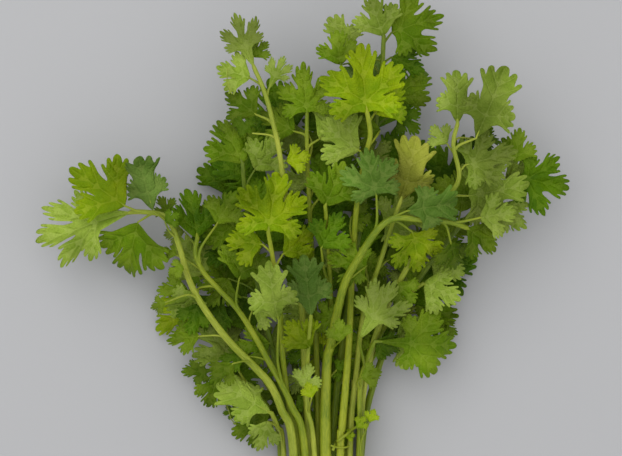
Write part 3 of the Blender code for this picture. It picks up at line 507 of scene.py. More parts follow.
def tube_tree(points, radii):
    """A search tree of a six-sided tube."""
    way = np.gradient(points, axis=0)
    way /= np.linalg.norm(way, axis=1)[:, None]
    side = np.cross(way, NOT_ALONG_A_STEM)
    side /= np.linalg.norm(side, axis=1)[:, None]
    up = np.cross(side, way)
    rings = []
    for k in range(ROUND_SIDES):
        angle = 2 * math.pi * k / ROUND_SIDES
        rings.append(points + radii[:, None] * (math.cos(angle) * side + math.sin(angle) * up))
    places = np.concatenate(rings)
    count = len(points)
    faces = []
    for k in range(ROUND_SIDES):
        after = (k + 1) % ROUND_SIDES
        for i in range(count - 1):
            faces.append((k * count + i, k * count + i + 1, after * count + i + 1, after * count + i))
    return BVHTree.FromPolygons([tuple(p) for p in places], faces)


def branch_course(start, way, hub, forward, blade_points):
    """A branch's curve from the stem to the leaflet's foot, and on along its middle vein."""
    span = np.linalg.norm(hub - start)
    first = start + way * BRANCH_REACH * span
    second = hub - forward * BRANCH_REACH * span
    course = []
    for t in BRANCH_STEPS:
        course.append(
            (1 - t) ** 3 * start
            + 3 * (1 - t) ** 2 * t * first
            + 3 * (1 - t) * t**2 * second
            + t**3 * hub
        )
    return np.array(course + list(blade_points))


def boxes_touch(one, other):
    """Whether two boxes, each a lowest and a highest corner, share room."""
    return bool((one[0] <= other[1]).all() and (other[0] <= one[1]).all())


def is_clear(tree, box, kept, skipped):
    """Whether a shape crosses none of the kept shapes but the skipped ones."""
    for owner, kind, number, other_tree, other_box in kept:
        if (owner, kind, number) in skipped or (owner, kind, None) in skipped:
            continue
        if boxes_touch(box, other_box) and tree.overlap(other_tree):
            return False
    return True


def box_of(points, margin):
    """The box round some points, a margin wider each way."""
    return points.min(axis=0) - margin, points.max(axis=0) + margin


def blade_shape(points, faces, room):
    """A blade's search tree and its box, both some room wider than the blade's middle."""
    return thick_tree(points, faces, room), box_of(points, room)


def tube_shape(points, radius, room):
    """A tube's search tree and its box, both some room wider than the tube."""
    wide = np.zeros(len(points)) + radius + room
    return tube_tree(points, wide), box_of(points, wide.max())


def rib_points(hub, length, pose):
    """The place on a leaflet's middle vein where its branch ends as a rib."""
    return place_blade(np.array([[RIB_SHARE * length, 0.0]]), hub, length, pose)


def lay_out():
    """The whole bunch: each stem's course and radii, and each leaflet with its pose and branch."""
    courses, radii = spread_stems(STEMS)
    kept = []
    for stem, course, radius in zip(STEMS, courses, radii):
        kept.append((stem.name, "stem", None, *tube_shape(course, radius, TUBE_CLEARANCE)))
    placed = {stem.name: [] for stem in STEMS}
    for stem, course in zip(STEMS, courses):
        shares = shares_along(course)
        ways = np.gradient(course, axis=0)
        for number, wanted in enumerate(stem.leaves):
            draw = random.Random(f"{stem.name} {number}")
            found = find_place(stem, number, wanted, course, shares, ways, kept, draw)
            if found:
                placed[stem.name].append(found)
    return courses, radii, placed


def tries_of(wanted, ends_stem, draw):
    """The sizes, shifts, rises and tilts that a leaflet tries, the best ones first."""
    tilts = [(0.0, 0.0)]
    for _ in range(TILT_TRIES - 1):
        tilts.append((draw.uniform(-TILT_RANGE, TILT_RANGE), draw.uniform(-TILT_RANGE, TILT_RANGE)))
    if ends_stem:
        tilts += END_TILTS
    shifts = (0,) if ends_stem else SHIFT_TRIES
    rises = (0,) if ends_stem else HEIGHT_TRIES
    for size in SIZE_TRIES:
        for shift in shifts:
            for rise in rises:
                for lift, lean in tilts:
                    yield size * wanted.length, shift, rise, lift, lean


def find_place(stem, number, wanted, course, shares, ways, kept, draw):
    """The first pose in which a leaflet and its branch clear all that is already there."""
    at = int(np.argmin(abs(shares - wanted.along)))
    way = ways[at] / np.linalg.norm(ways[at])
    ends_stem = wanted.hub is None
    arch = draw.uniform(*ARCH_DRAW) if wanted.arch is None else wanted.arch
    phase = draw.uniform(0, 2 * math.pi)
    roll = draw.uniform(-TILT_RANGE, TILT_RANGE)
    own_stem = (stem.name, "stem", None)
    onward = blade_frame(wanted.heading, 0, 0)[0]
    for length, shift, rise, lift, lean in tries_of(wanted, ends_stem, draw):
        hub = course[-1] if ends_stem else np.array(wanted.hub, float) + (0, 0, rise) + shift * onward
        pose = (wanted.heading, wanted.pitch + lift, roll + lean, wanted.droop, arch, phase)
        flat, faces = flat_blade(wanted.form, length)
        points = place_blade(flat, hub, length, pose)
        if hub[2] < LOWEST_HUB or points[:, 2].min() < LOWEST_BLADE:
            continue
        blade = blade_shape(points, faces, BLADE_CLEARANCE)
        if not is_clear(*blade, kept, (own_stem,)):
            continue
        branch = None
        if not ends_stem:
            forward = blade_frame(*pose[:3])[0]
            branch = branch_course(course[at], way, hub, forward, rib_points(hub, length, pose))
            if branch[1:, 2].min() < LOWEST_HUB:
                continue
            tube = tube_shape(branch, BRANCH_RADIUS, TUBE_CLEARANCE)
            if not is_clear(*tube, kept, (own_stem, (stem.name, "branch", None))):
                continue
            kept.append((stem.name, "branch", number, *tube))
        kept.append((stem.name, "blade", number, *blade))
        return wanted.form, hub, length, pose, branch
    return None


def place_of_middle(courses, placed):
    """The middle of the bunch's box in X and Y, which becomes the origin."""
    points = [course[:, :2] for course in courses]
    for leaves in placed.values():
        for form, hub, length, pose, _ in leaves:
            points.append(place_blade(flat_blade(form, length)[0], hub, length, pose)[:, :2])
    everything = np.concatenate(points)
    middle = (everything.min(axis=0) + everything.max(axis=0)) / 2
    return np.array([round(middle[0], 1), round(middle[1], 1), 0.0])


# Fine blades, in millimetres: their thickness, how finely they are drawn, and the valleys at their veins
FINE_HALF = 0.17
RIM_HALF = 0.07
RIM_WITHIN = 0.05
POINT_SPACING = 1.7
ROW_SHARE = 0.87
POINT_DRIFT = (-0.15, 0.15)
VEIN_SPACING = 1.5
VEIN_ROOM = 0.45
EDGE_ROOM = 0.55
VEIN_VALLEY = 0.8
VALLEY_WIDTH = 2.6
RIB_RISE = 0.32
RIB_WIDTH = 0.55

# How a fine blade bends: its folds along the lobes, its curl, its ruffled edge and its broad swells
LOBE_FOLDS = (-0.15, 0.50)
FOLD_REACH = 0.13
LOBE_CURL = 0.50
LOBE_SPAN = 34
CURLS = (-1.0, 0.8)
CURL_FROM = 0.3
RUFFLE = 0.055
RUFFLES = 9
SWELL = 0.030
SWELLS = 3
SWELL_COUNTS = (0.9, 2.4)
ROUND_TURN = 6.28

# Petioles, and how each runs on under its blade's middle vein
PETIOLE_RADII = (0.85, 0.50)
PETIOLE_SPACING = 1.6
RIB_STOPS = (0.10, 0.24, 0.40, 0.56)
RIB_SINK = 0.3
RIB_END = 0.15

# How much each lobe differs: its turn in degrees, its reach, and how its rows of teeth shift and widen
LOBE_TURN = 4
LOBE_REACH = (0.93, 1.0)
TOOTH_SHIFT = (-0.015, 0.015)
TOOTH_WIDTH = (0.88, 1.04)
FINE_FOOT = 0.8
MIDDLE_VEIN_END = 0.95
SIDE_VEIN_SPREAD = 0.92

# A fine lobe's edge from its foot to its tip, in shares of its reach and half width
TOOTHED_EDGE = (
    (0.50, 0.66), (0.61, 0.85), (0.69, 0.97), (0.76, 1.05), (0.79, 0.96), (0.765, 0.82), (0.70, 0.71),
    (0.79, 0.69), (0.875, 0.69), (0.92, 0.58), (0.90, 0.44), (0.82, 0.32), (0.90, 0.27), (0.965, 0.19),
)
TOOTH_POINTS = 7
SIDE_VEINS = ((0.36, 0.72, 0.94), (0.58, 0.89, 0.60))

# Small leaves that fill out the bunch between the leaflets of the solids, in millimetres
CELL = 2.5
FILL_CLEARANCE = 0.2
FILL_BLADE_ROOM = FINE_HALF + FILL_CLEARANCE
FILL_PETIOLE_ROOM = 0.1
FILL_PETIOLE_RADII = (0.65, 0.40)
LONGEST_PETIOLE = (12.0, 1.1)
FILL_REACH = 32.0
STEM_IN_VIEW = 1.2

# What a small leaf tries: how many stems, how much smaller at last, how far above its stem, which share of it
# lies behind its middle, how far back its petiole starts, and its pitch, roll, droop, arch and wave
FILL_TRIES = 30
NEAREST_STEMS = 4
FILL_SHRINK = 0.3
FILL_RISE = (-8, 12)
FILL_MIDDLE = 0.45
FILL_BACK = (2, 5)
FILL_POSE = ((-10, 20), (-22, 22), (0, 40), (-40, 40), (0, ROUND_TURN))
FILL_FORMS = ("fan", "fan", "broad")
SEEN_SPREAD = 8
SEEN_HEIGHTS = (4.0, 58.0)
FILL_SPREAD = 50

# The rounds of small leaves: the lengths, the heights and the looks that each draws from. The later, lower
# rounds draw only the dark green: painted shade, dark leaves put low between the stems where the bunch lies
# in shade
FILL_ROUNDS = (
    ((15.0, 28.0), (8.0, 52.0), ("dark", "mid", "mid", "pale")),
    ((9.0, 17.0), (3.0, 30.0), ("dark", "dark", "mid")),
    ((7.0, 12.0), (1.5, 24.0), ("dark",)),
    ((8.0, 15.0), (1.5, 16.0), ("dark",)),
)

# Thin loose strands that the photo shows, and how thick each is
STRANDS = {
    "lower_left_pale_stem": (
        (((-50.5, 23.5, 13), (-49, 20, 15), (-48, 16, 14), (-45.5, 13, 13)), 0.25),
    ),
    "top_left_stem": (
        (((-48, 193, 52), (-48.4, 188, 53), (-47.6, 184, 54), (-46, 180, 54)), 0.25),
        (((-51, 188, 53), (-48.4, 188.4, 53), (-44.5, 188, 54)), 0.22),
    ),
}

# Young shoots that lie over the stems: where each runs on the ground, and how thick it is
SHOOTS = {
    "big_right_stem": (
        (((22, 18), (14.5, 11.4), (6.8, 5.7), (4, 1)), 0.75),
        (((17.5, 20), (17.6, 9), (18.6, -4)), 0.5),
        (((3, 3.5), (7.5, 2.2), (12.5, 2.6)), 0.5),
    ),
}
SHOOT_ROOM = 2.0

# Small leaves that the photo shows: the middle of each on the ground, its heading, length, form and look
SMALL_LEAVES = (
    (-110, 111.5, 213, 11, "fan", "dark"), (-97, 114.5, 190, 18, "fan", "bright"),
    (-81.5, 130, 70, 9, "fan", "dark"), (-78, 102, 155, 8, "fan", "mid"), (-74, 93.6, 185, 9, "fan", "mid"),
    (-8.4, 45, 95, 10, "fan", "bright"), (-7.8, 32.4, 100, 9, "fan", "bright"),
    (-2.3, 55.5, 92, 19, "finger", "bright"), (6.8, 63, 100, 14, "fan", "mid"),
    (20.7, 17, 60, 8, "fan", "bright"), (-24.5, 190, 30, 9, "fan", "mid"),
    (-40, 164, 135, 12, "ovate", "dark"), (-13.5, 148.5, 20, 14, "fan", "bright"),
    (56.5, 160, 125, 13, "fan", "pale"), (81, 158, 0, 18, "broad", "dark"),
    (-31, 198, 100, 16, "fan", "mid"), (6, 203, 95, 20, "fan", "mid"), (15, 221, 80, 10, "fan", "mid"),
    (32, 205, 100, 11, "fan", "dark"), (94, 182, 80, 16, "fan", "mid"), (115, 135, 20, 16, "fan", "dark"),
    (61, 56, 320, 20, "broad", "mid"), (-83, 76, 200, 9, "fan", "mid"), (-71, 58.5, 190, 18, "fan", "mid"),
    (-69, 39, 215, 10, "fan", "mid"), (-31, 9, 250, 18, "fan", "pale"), (-81, 125, 120, 12, "fan", "mid"),
    (-86, 114.5, 230, 12, "fan", "bright"), (-95, 119, 180, 12, "fan", "pale"),
    (-76, 119, 30, 10, "fan", "dark"), (-73, 124, 60, 12, "fan", "mid"), (-32.5, 203, 60, 12, "fan", "mid"),
    (-52.5, 202, 160, 10, "fan", "dark"), (21, 208.5, 80, 14, "fan", "mid"),
    (15.5, 222, 110, 8, "fan", "mid"), (-104, 95.5, 250, 12, "fan", "mid"),
    (96, 178, 60, 12, "fan", "pale"), (63.5, 62, 330, 12, "fan", "mid"), (-69, 40.5, 200, 9, "fan", "mid"),
    (52, 172, 200, 12, "fan", "mid"), (18.5, 15.5, 50, 9, "fan", "bright"),
    (24, 19, 60, 8, "fan", "bright"), (13, 8, 20, 7, "fan", "bright"),
)

# The stretches of stem that the photo shows, from one Y to another, which no small leaf lies over
OPEN_STRETCHES = (
    ("left_long_stem", -100, 200), ("big_right_stem", -100, 200), ("left_middle_stem", -100, 94),
    ("top_centre_stem", 148, 172), ("top_centre_stem", -100, 62), ("top_left_stem", 166, 200),
    ("right_top_stem", 138, 170), ("pale_yellow_stem", 92, 126), ("young_centre_stem", -100, 40),
    ("lower_left_pale_stem", -100, 30), ("right_low_stem", -100, 46),
)

# The outer line of the leafy part as the photo shows it, in the layout's millimetres
LEAFY_PART = np.array((
    (-10, 20), (-24, 4), (-46, 8), (-60, 28), (-72, 40), (-60, 50), (-60, 58), (-82, 62), (-86, 84),
    (-76, 96), (-84, 112), (-90, 128), (-72, 130), (-60, 136), (-54, 148), (-56, 170), (-44, 168),
    (-46, 180), (-28, 176), (-22, 186), (-4, 190), (6, 196), (6, 222), (52, 222), (50, 172),
    (54, 156), (62, 160), (62, 176), (96, 178), (96, 162), (112, 158), (112, 134), (88, 112),
    (70, 100), (66, 76), (66, 48), (22, 44), (19, 0), (-10, 0),
), float)

# Greens as the light of the photo shows them: upper side, patches, underside and vein
LOOKS = {
    "bright": ((0.150, 0.255, 0.001), (0.255, 0.350, 0.003), (0.22, 0.29, 0.03), (0.34, 0.40, 0.030)),
    "mid": ((0.088, 0.172, 0.001), (0.150, 0.232, 0.008), (0.15, 0.21, 0.04), (0.21, 0.28, 0.030)),
    "dark": ((0.044, 0.110, 0.001), (0.088, 0.172, 0.002), (0.10, 0.16, 0.02), (0.140, 0.22, 0.014)),
    "pale": ((0.175, 0.268, 0.020), (0.275, 0.370, 0.048), (0.23, 0.31, 0.07), (0.35, 0.42, 0.100)),
    "yellow": ((0.290, 0.325, 0.030), (0.340, 0.360, 0.045), (0.29, 0.32, 0.07), (0.42, 0.43, 0.080)),
    "blue": ((0.096, 0.196, 0.018), (0.160, 0.265, 0.040), (0.17, 0.25, 0.06), (0.24, 0.32, 0.065)),
}
STALK_GREENS = {
    "bright": ((0.140, 0.205, 0.003), (0.36, 0.40, 0.024)),
    "mid": ((0.110, 0.175, 0.003), (0.30, 0.35, 0.020)),
    "dark": ((0.060, 0.110, 0.002), (0.17, 0.23, 0.008)),
    "pale": ((0.180, 0.245, 0.012), (0.40, 0.44, 0.050)),
}
LOOK_ORDER = tuple(LOOKS)
PITH = ((0.42, 0.46, 0.20), (0.50, 0.53, 0.28))

# The look of each leaflet of the solids, in the order of its stem's leaves
LEAF_LOOKS = {
    "left_long_stem": ("pale", "bright", "mid", "blue"),
    "big_right_stem": ("mid", "pale", "blue", "bright", "mid", "blue"),
    "top_centre_stem": ("bright", "bright", "pale"),
    "right_low_stem": ("mid", "pale", "mid"),
    "left_middle_stem": ("dark", "pale", "pale", "mid", "mid"),
    "young_centre_stem": ("blue", "bright", "pale"),
    "pale_yellow_stem": ("yellow", "mid", "dark"),
    "right_top_stem": ("pale", "pale", "pale", "pale"),
    "centre_bright_stem": ("bright", "bright", "bright"),
    "centre_top_stem": ("mid", "dark"),
    "top_left_stem": ("pale", "pale", "pale", "mid"),
    "lower_left_pale_stem": ("pale", "mid"),
    "upper_left_stem": ("mid", "pale", "mid", "dark"),
    "top_back_stem": ("pale", "mid", "dark", "mid", "pale", "blue"),
    "small_top_stem": ("mid", "mid", "pale", "dark"),
    "dark_right_stem": ("dark", "mid", "pale", "mid", "pale"),
    "right_middle_stem": ("pale", "pale", "mid"),
    "lower_left_stem": ("mid", "pale", "mid"),
    "low_far_left_stem": ("pale", "bright", "mid", "mid", "dark"),
    "low_far_right_stem": ("mid", "pale", "dark", "dark"),
}

# A stalk's sides, and how its ribs, its groove and its sunk cut end shape it, as shares of its radius
STALK_SIDES = 18
PETIOLE_SIDES = 10
STRAND_SIDES = 8
STALK_TURN = 0.5
RIB_COUNT = 6
RIB_DEPTH = 0.07
GROOVE_DEPTH = 0.16
GROOVE_WIDTH = 0.55
PITH_INSETS = (0.2, 0.25)
PITH_DEPTH = 0.1

# How large the cells, the patches, the grain and the tint of the leaves are, and the strings of the stalks
CELL_SCALE = 620.0
PATCH_SCALE = 55.0
GRAIN_SCALE = 320.0
TINT_SCALE = 30.0
STALK_PATCH_SCALE = 38.0
STRING_SCALE = 9.0
STRING_STRETCH = 0.035

# How leaves and stalks take the light
LEAF_SPECULAR = 0.08
LEAF_BUMP = (0.8, 0.0006)
LIGHT_THROUGH = 0.22
STALK_SPECULAR = 0.25
STALK_BUMP = (0.4, 0.0003)

# The table, the sky and the lamps, in metres
TABLE_HALF = 1.6
TABLE_GREY = (0.45, 0.45, 0.455, 1)
TABLE_ROUGHNESS = 0.85
SKY_COLOUR = (0.97, 0.98, 1.0, 1)
SKY_STRENGTH = 0.70
LAMPS = (("soft_light", (-0.35, 0.45, 1.1), 1.2, 6.5), ("fill_light", (0.6, -0.3, 1.2), 1.4, 3.0))

# The photo's frame, and the eye that looks straight down, in millimetres
PHOTO_SIZE = (622, 456)
MM_PER_PIXEL = 0.5
PHOTO_MIDDLE = (-7.0, 114.0)
EYE_HEIGHT = 1000.0
SHARP_HEIGHT = 40.0
FILM_WIDTH = 36.0


def closed_curve(points, steps):
    """A smooth closed line through points in the plane, steps pieces from each to the next."""
    known = np.array(points)
    before, after, later = np.roll(known, 1, 0), np.roll(known, -1, 0), np.roll(known, -2, 0)
    rows = [curve_point(before, known, after, later, step / steps) for step in range(steps)]
    return np.stack(rows, axis=1).reshape(-1, 2)


def toothed_side(shifts):
    """One side of a lobe's edge, with each of its two rows of teeth shifted and widened a little."""
    side = []
    for number, (along, across) in enumerate(TOOTHED_EDGE):
        further, wider = shifts[number // TOOTH_POINTS]
        side.append((along + further, across * wider))
    return side


def fine_outline(form, length, draw):
    """A leaflet's toothed edge and its veins, in its own plane, with its foot at zero and its tip along X."""
    palm, depth, lobes = FORMS[form]
    centre = np.array([palm * length, 0.0])
    edge = [np.array([0.0, 0.0])]
    veins = [[np.zeros(2), centre]]
    for number, (turn, reach, width) in enumerate(lobes):
        way, side = flat_ways(turn + draw.uniform(-LOBE_TURN, LOBE_TURN))
        far = reach * draw.uniform(*LOBE_REACH)

        def spot(along, across):
            return centre + (way * along * far + side * across * width) * length

        if number == 0:
            edge.append(spot(LOBE_FOOT[0], -LOBE_FOOT[1] * FINE_FOOT))
        else:
            before = lobes[number - 1]
            sinus = flat_ways((turn + before[0]) / 2)[0]
            edge.append(centre + sinus * depth * min(reach, before[1]) * length)
        shifts = [(draw.uniform(*TOOTH_SHIFT), draw.uniform(*TOOTH_WIDTH)) for _ in range(4)]
        edge += [spot(a, -w) for a, w in toothed_side(shifts[:2])]
        edge.append(spot(1.0, 0.0))
        edge += [spot(a, w) for a, w in reversed(toothed_side(shifts[2:]))]
        veins.append([centre, spot(MIDDLE_VEIN_END, 0.0)])
        for start, end, across in SIDE_VEINS:
            for hand in (-1, 1):
                veins.append([spot(start, 0.0), spot(end, hand * across * SIDE_VEIN_SPREAD)])
    edge.append(spot(LOBE_FOOT[0], LOBE_FOOT[1] * FINE_FOOT))
    return closed_curve(edge, 2), veins


def inside(points, outline):
    """Which points lie inside a closed outline."""
    start, end = outline, np.roll(outline, -1, axis=0)
    x, y = points[:, :1], points[:, 1:]
    spans = (start[:, 1] > y) != (end[:, 1] > y)
    rise = np.where(end[:, 1] == start[:, 1], 1e-9, end[:, 1] - start[:, 1])
    crossing = start[:, 0] + (y - start[:, 1]) / rise * (end[:, 0] - start[:, 0])
    return (spans & (x < crossing)).sum(axis=1) % 2 == 1


def distance_to_lines(points, starts, ends):
    """Each point's distance to the nearest of some straight lines."""
    along = ends - starts
    length = np.maximum((along**2).sum(axis=1), 1e-9)
    offset = points[:, None] - starts[None]
    share = np.clip((offset * along).sum(axis=2) / length, 0, 1)
    return np.linalg.norm(offset - share[..., None] * along, axis=2).min(axis=1)


def cut_blade(form, length, draw):
    """A fine leaflet in its plane: its points, its faces, how far each point is from a vein and the edge."""
    outline, veins = fine_outline(form, length, draw)
    starts, ends = np.array(veins)[:, 0], np.array(veins)[:, 1]
    low, high = outline.min(axis=0), outline.max(axis=0)
    rows = []
    for row, y in enumerate(np.arange(low[1], high[1], POINT_SPACING * ROW_SHARE)):
        shift = 0.5 * POINT_SPACING * (row % 2)
        rows += [(x, y) for x in np.arange(low[0] + shift, high[0], POINT_SPACING)]
    grid = np.array(rows) + [(draw.uniform(*POINT_DRIFT), draw.uniform(*POINT_DRIFT)) for _ in rows]
    rim_starts, rim_ends = outline, np.roll(outline, -1, axis=0)
    grid = grid[inside(grid, outline)]
    grid = grid[distance_to_lines(grid, rim_starts, rim_ends) > EDGE_ROOM]
    grid = grid[distance_to_lines(grid, starts, ends) > VEIN_ROOM * POINT_SPACING]
    on_veins = []
    lines = []
    count = len(outline)
    for start, end in veins:
        pieces = max(2, round(np.linalg.norm(end - start) / VEIN_SPACING))
        first = count + len(on_veins)
        on_veins += [start + (end - start) * i / pieces for i in range(pieces + 1)]
        lines += [(first + i, first + i + 1) for i in range(pieces)]
    points = np.concatenate([outline, np.array(on_veins), grid])
    around = [(i, (i + 1) % count) for i in range(count)]
    made = delaunay_2d_cdt([Vector(p) for p in points], around + lines, [], 1, SAME_PLACE)
    used = sorted({i for face in made[2] for i in face})
    fresh = {old: new for new, old in enumerate(used)}
    faces = [tuple(fresh[i] for i in face) for face in made[2]]
    flat = np.array([tuple(p) for p in made[0]])[used]
    ribs = [vein for vein in veins if np.allclose(vein[0], veins[0][1]) or vein is veins[0]]
    to_vein = distance_to_lines(flat, starts, ends)
    to_rib = distance_to_lines(flat, np.array(ribs)[:, 0], np.array(ribs)[:, 1])
    to_edge = distance_to_lines(flat, rim_starts, rim_ends)
    return flat, faces, to_vein, to_rib, to_edge


def shaped_blade(flat, to_vein, to_rib, fine, draw):
    """A fine leaflet's points in their place, with valleys at the veins, curling lobes and a waved edge."""
    palm, _, lobes = FORMS[fine.form]
    hub, length, pose = fine.hub, fine.length, fine.pose
    base = place_blade(flat, hub, length, pose)
    step = 0.01 * length
    ahead = place_blade(flat + [step, 0.0], hub, length, pose) - base
    beside = place_blade(flat + [0.0, step], hub, length, pose) - base
    normal = np.cross(ahead, beside)
    normal /= np.linalg.norm(normal, axis=1)[:, None]
    rise = VEIN_VALLEY * (1 - np.exp(-((to_vein / VALLEY_WIDTH) ** 2)))
    out = flat - [palm * length, 0.0]
    angle = np.degrees(np.arctan2(out[:, 1], out[:, 0]))
    reach = np.linalg.norm(out, axis=1) / length
    curl = np.zeros(len(flat))
    for turn, _, _ in lobes:
        near = np.clip(1 - abs(angle - turn) / LOBE_SPAN, 0, 1)
        curl += draw.uniform(*CURLS) * near * np.clip(reach - CURL_FROM, 0, None) ** 2
    phase = draw.uniform(0, ROUND_TURN)
    ruffle = np.sin(np.radians(angle) * RUFFLES + phase) * reach**2
    fold = draw.uniform(*LOBE_FOLDS)
    rise = rise + length * (LOBE_CURL * curl + RUFFLE * ruffle)
    rise = rise + fold * np.minimum(to_rib, FOLD_REACH * length)
    for _ in range(SWELLS):
        way, count, start = [draw.uniform(*ends) for ends in ((0, ROUND_TURN), SWELL_COUNTS, (0, ROUND_TURN))]
        along = (flat[:, 0] * math.cos(way) + flat[:, 1] * math.sin(way)) / length
        rise = rise + SWELL * length * np.sin(ROUND_TURN * count * along + start) * np.clip(2 * reach, 0, 1)
    return base + normal * rise[:, None], normal


def shape_of(fine):
    """A fine leaflet's points in place, its faces, its normals, and its distances to veins and edge."""
    draw = random.Random(fine.seed)
    flat, faces, to_vein, to_rib, to_edge = cut_blade(fine.form, fine.length, draw)
    placed, normal = shaped_blade(flat, to_vein, to_rib, fine, draw)
    return placed, faces, normal, to_vein, to_edge, draw.uniform(-1, 1)


def point_layers(bm):
    """The numbers that the skins read at each point, such as how far it is from a vein and from the rim."""
    return {name: bm.verts.layers.float.new(name) for name in ("vein", "rim", "under", "along", "around")}


def finish_blade(bm, faces, placed, normal, to_vein, to_edge):
    """A thin closed blade: its sheet pulled out to two sides, thin at the rim, ribbed underneath."""
    layer = point_layers(bm)
    verts = [bm.verts.new(place) for place in placed]
    for vert, vein, edge in zip(verts, to_vein, to_edge):
        vert[layer["vein"]] = vein
        vert[layer["rim"]] = edge
    for face in faces:
        bm.faces.new([verts[i] for i in face])
    bm.verts.index_update()
    pulled = bmesh.ops.extrude_face_region(bm, geom=bm.faces[:], use_keep_orig=True)["geom"]
    tops = [item for item in pulled if isinstance(item, bmesh.types.BMVert)]
    half = np.where(to_edge < RIM_WITHIN, RIM_HALF, FINE_HALF)
    rib = RIB_RISE * np.exp(-((to_vein / RIB_WIDTH) ** 2)) * np.clip(to_edge / 2, 0, 1)
    where = {tuple(vert.co): i for i, vert in enumerate(verts)}
    for vert in tops:
        i = where[tuple(vert.co)]
        vert.co += Vector(normal[i] * half[i])
    for i, vert in enumerate(verts):
        vert.co -= Vector(normal[i] * (half[i] + rib[i]))
        vert[layer["under"]] = 1.0
    bmesh.ops.recalc_face_normals(bm, faces=bm.faces)


def mesh_of(name, bm, middle, tint, materials):
    """A mesh in metres from a bmesh in millimetres, with its tint and materials."""
    layer = bm.verts.layers.float.new("tint")
    for vert in bm.verts:
        vert[layer] = tint
        vert.co = (vert.co - Vector(middle)) * MM
    mesh = bpy.data.meshes.new(name)
    for material in materials:
        mesh.materials.append(material)
    bm.to_mesh(mesh)
    bm.free()
    return mesh


def blade_mesh(name, fine, middle, materials):
    """The mesh of one fine leaflet."""
    placed, faces, normal, to_vein, to_edge, tint = shape_of(fine)
    bm = bmesh.new()
    finish_blade(bm, faces, placed, normal, to_vein, to_edge)
    for face in bm.faces:
        face.smooth = True
        face.material_index = LOOK_ORDER.index(fine.look)
    return mesh_of(name, bm, middle, tint, materials)


def stalk_profile(angle):
    """A stalk's radius at an angle round it, as a share: low ribs, and a groove along its upper side."""
    groove = math.exp(-(((angle - math.pi / 2) / GROOVE_WIDTH) ** 2))
    return 1 - RIB_DEPTH * (0.5 - 0.5 * math.cos(RIB_COUNT * angle)) - GROOVE_DEPTH * groove


def course_frames(points):
    """A stalk's direction, sideways and upward vectors at each point of its course."""
    way = np.gradient(points, axis=0)
    way /= np.linalg.norm(way, axis=1)[:, None]
    side = np.cross(way, [0.0, 0.0, 1.0])
    side /= np.maximum(np.linalg.norm(side, axis=1), 1e-6)[:, None]
    return way, side, np.cross(side, way)


def stalk_mesh(name, points, radii, middle, flat_under, seed, materials, sides=STALK_SIDES):
    """A ribbed stalk along a course, with its cut end sunk a little at the pith."""
    way, side, up = course_frames(points)
    draw = random.Random(seed)
    turn = draw.uniform(-STALK_TURN, STALK_TURN)
    angles = [2 * math.pi * k / sides for k in range(sides)]
    bm = bmesh.new()
    layer = point_layers(bm)
    ring = bmesh.ops.create_circle(bm, segments=sides, radius=1.0)["verts"]
    edges = bm.edges[:]
    length = np.concatenate([[0], np.cumsum(np.linalg.norm(np.diff(points, axis=0), axis=1))])
    first = sorted(ring, key=lambda vert: math.atan2(vert.co.y, vert.co.x) % (2 * math.pi))
    order = first
    for i, place in enumerate(points):
        if i:
            out = bmesh.ops.extrude_edge_only(bm, edges=edges)["geom"]
            edges = [item for item in out if isinstance(item, bmesh.types.BMEdge)]
            fresh = {tuple(vert.co): vert for vert in out if isinstance(vert, bmesh.types.BMVert)}
            order = [fresh[tuple(vert.co)] for vert in order]
        for vert, angle in zip(order, angles):
            share = stalk_profile((angle + turn) % (2 * math.pi)) * radii[i]
            spot = place + share * (math.cos(angle) * side[i] + math.sin(angle) * up[i])
            if flat_under:
                spot[2] = max(spot[2], place[2] - radii[i] * FLAT_SHARE)
            vert.co = spot
            vert[layer["along"]] = length[i]
            vert[layer["around"]] = angle
    for rim, inward, thick in ((first, way[0], radii[0]), (order, -way[-1], radii[-1])):
        face = bm.faces.new(rim)
        for inset in PITH_INSETS:
            bmesh.ops.inset_region(bm, faces=[face], thickness=inset * thick, use_even_offset=True)
        for vert in face.verts:
            vert.co += Vector(inward * PITH_DEPTH * thick)
            vert[layer["under"]] = 1.0
    bmesh.ops.recalc_face_normals(bm, faces=bm.faces)
    for face in bm.faces:
        face.smooth = len(face.verts) == 4
        face.material_index = len(LOOK_ORDER)
    return mesh_of(name, bm, middle, draw.uniform(-1, 1), materials)


def joined(name, meshes):
    """One piece from several meshes that share their attributes."""
    things = []
    for number, mesh in enumerate(meshes):
        thing = bpy.data.objects.new(f"{name}_{number}", mesh)
        bpy.context.scene.collection.objects.link(thing)
        things.append(thing)
    first = things[0]
    with bpy.context.temp_override(active_object=first, selected_editable_objects=things, object=first):
        bpy.ops.object.join()
    first.name = name
    return first


def rib_course(fine):
    """The points along a leaflet's middle vein that its petiole runs on to."""
    stops = np.array([(stop * fine.length, 0.0) for stop in RIB_STOPS])
    line = place_blade(stops, fine.hub, fine.length, fine.pose)
    placed, _, normal = shape_of(fine)[:3]
    nearest = [int(np.linalg.norm(placed - point, axis=1).argmin()) for point in line]
    return placed[nearest] - RIB_SINK * normal[nearest]


def run_on(course, radii, fine):
    """A stalk's course and radii, run on under a leaflet's middle vein to a thin end."""
    thin = np.linspace(fine.radii[1], RIB_END, len(RIB_STOPS))
    return np.concatenate([course, rib_course(fine)]), np.concatenate([radii, thin])


def smooth_branch(branch):
    """A branch's few points drawn through by a smooth line."""
    return smooth_course(branch, PETIOLE_SPACING)


def new_tree(name):
    """A material with an empty node tree but for its output."""
    material = bpy.data.materials.new(name)
    material.use_nodes = True
    tree = material.node_tree
    tree.nodes.clear()
    return material, tree


def feed(tree, target, value):
    """Gives a socket its plain value, or a link where the value comes from another node."""
    if isinstance(value, bpy.types.NodeSocket):
        tree.links.new(value, target)
    else:
        target.default_value = value


def add(tree, kind, sockets=None, **settings):
    """A node with its settings, and with its sockets fed by their names or numbers."""
    made = tree.nodes.new(kind)
    for name, value in settings.items():
        setattr(made, name, value)
    for name, value in (sockets or {}).items():
        feed(tree, made.inputs[name], value)
    return made


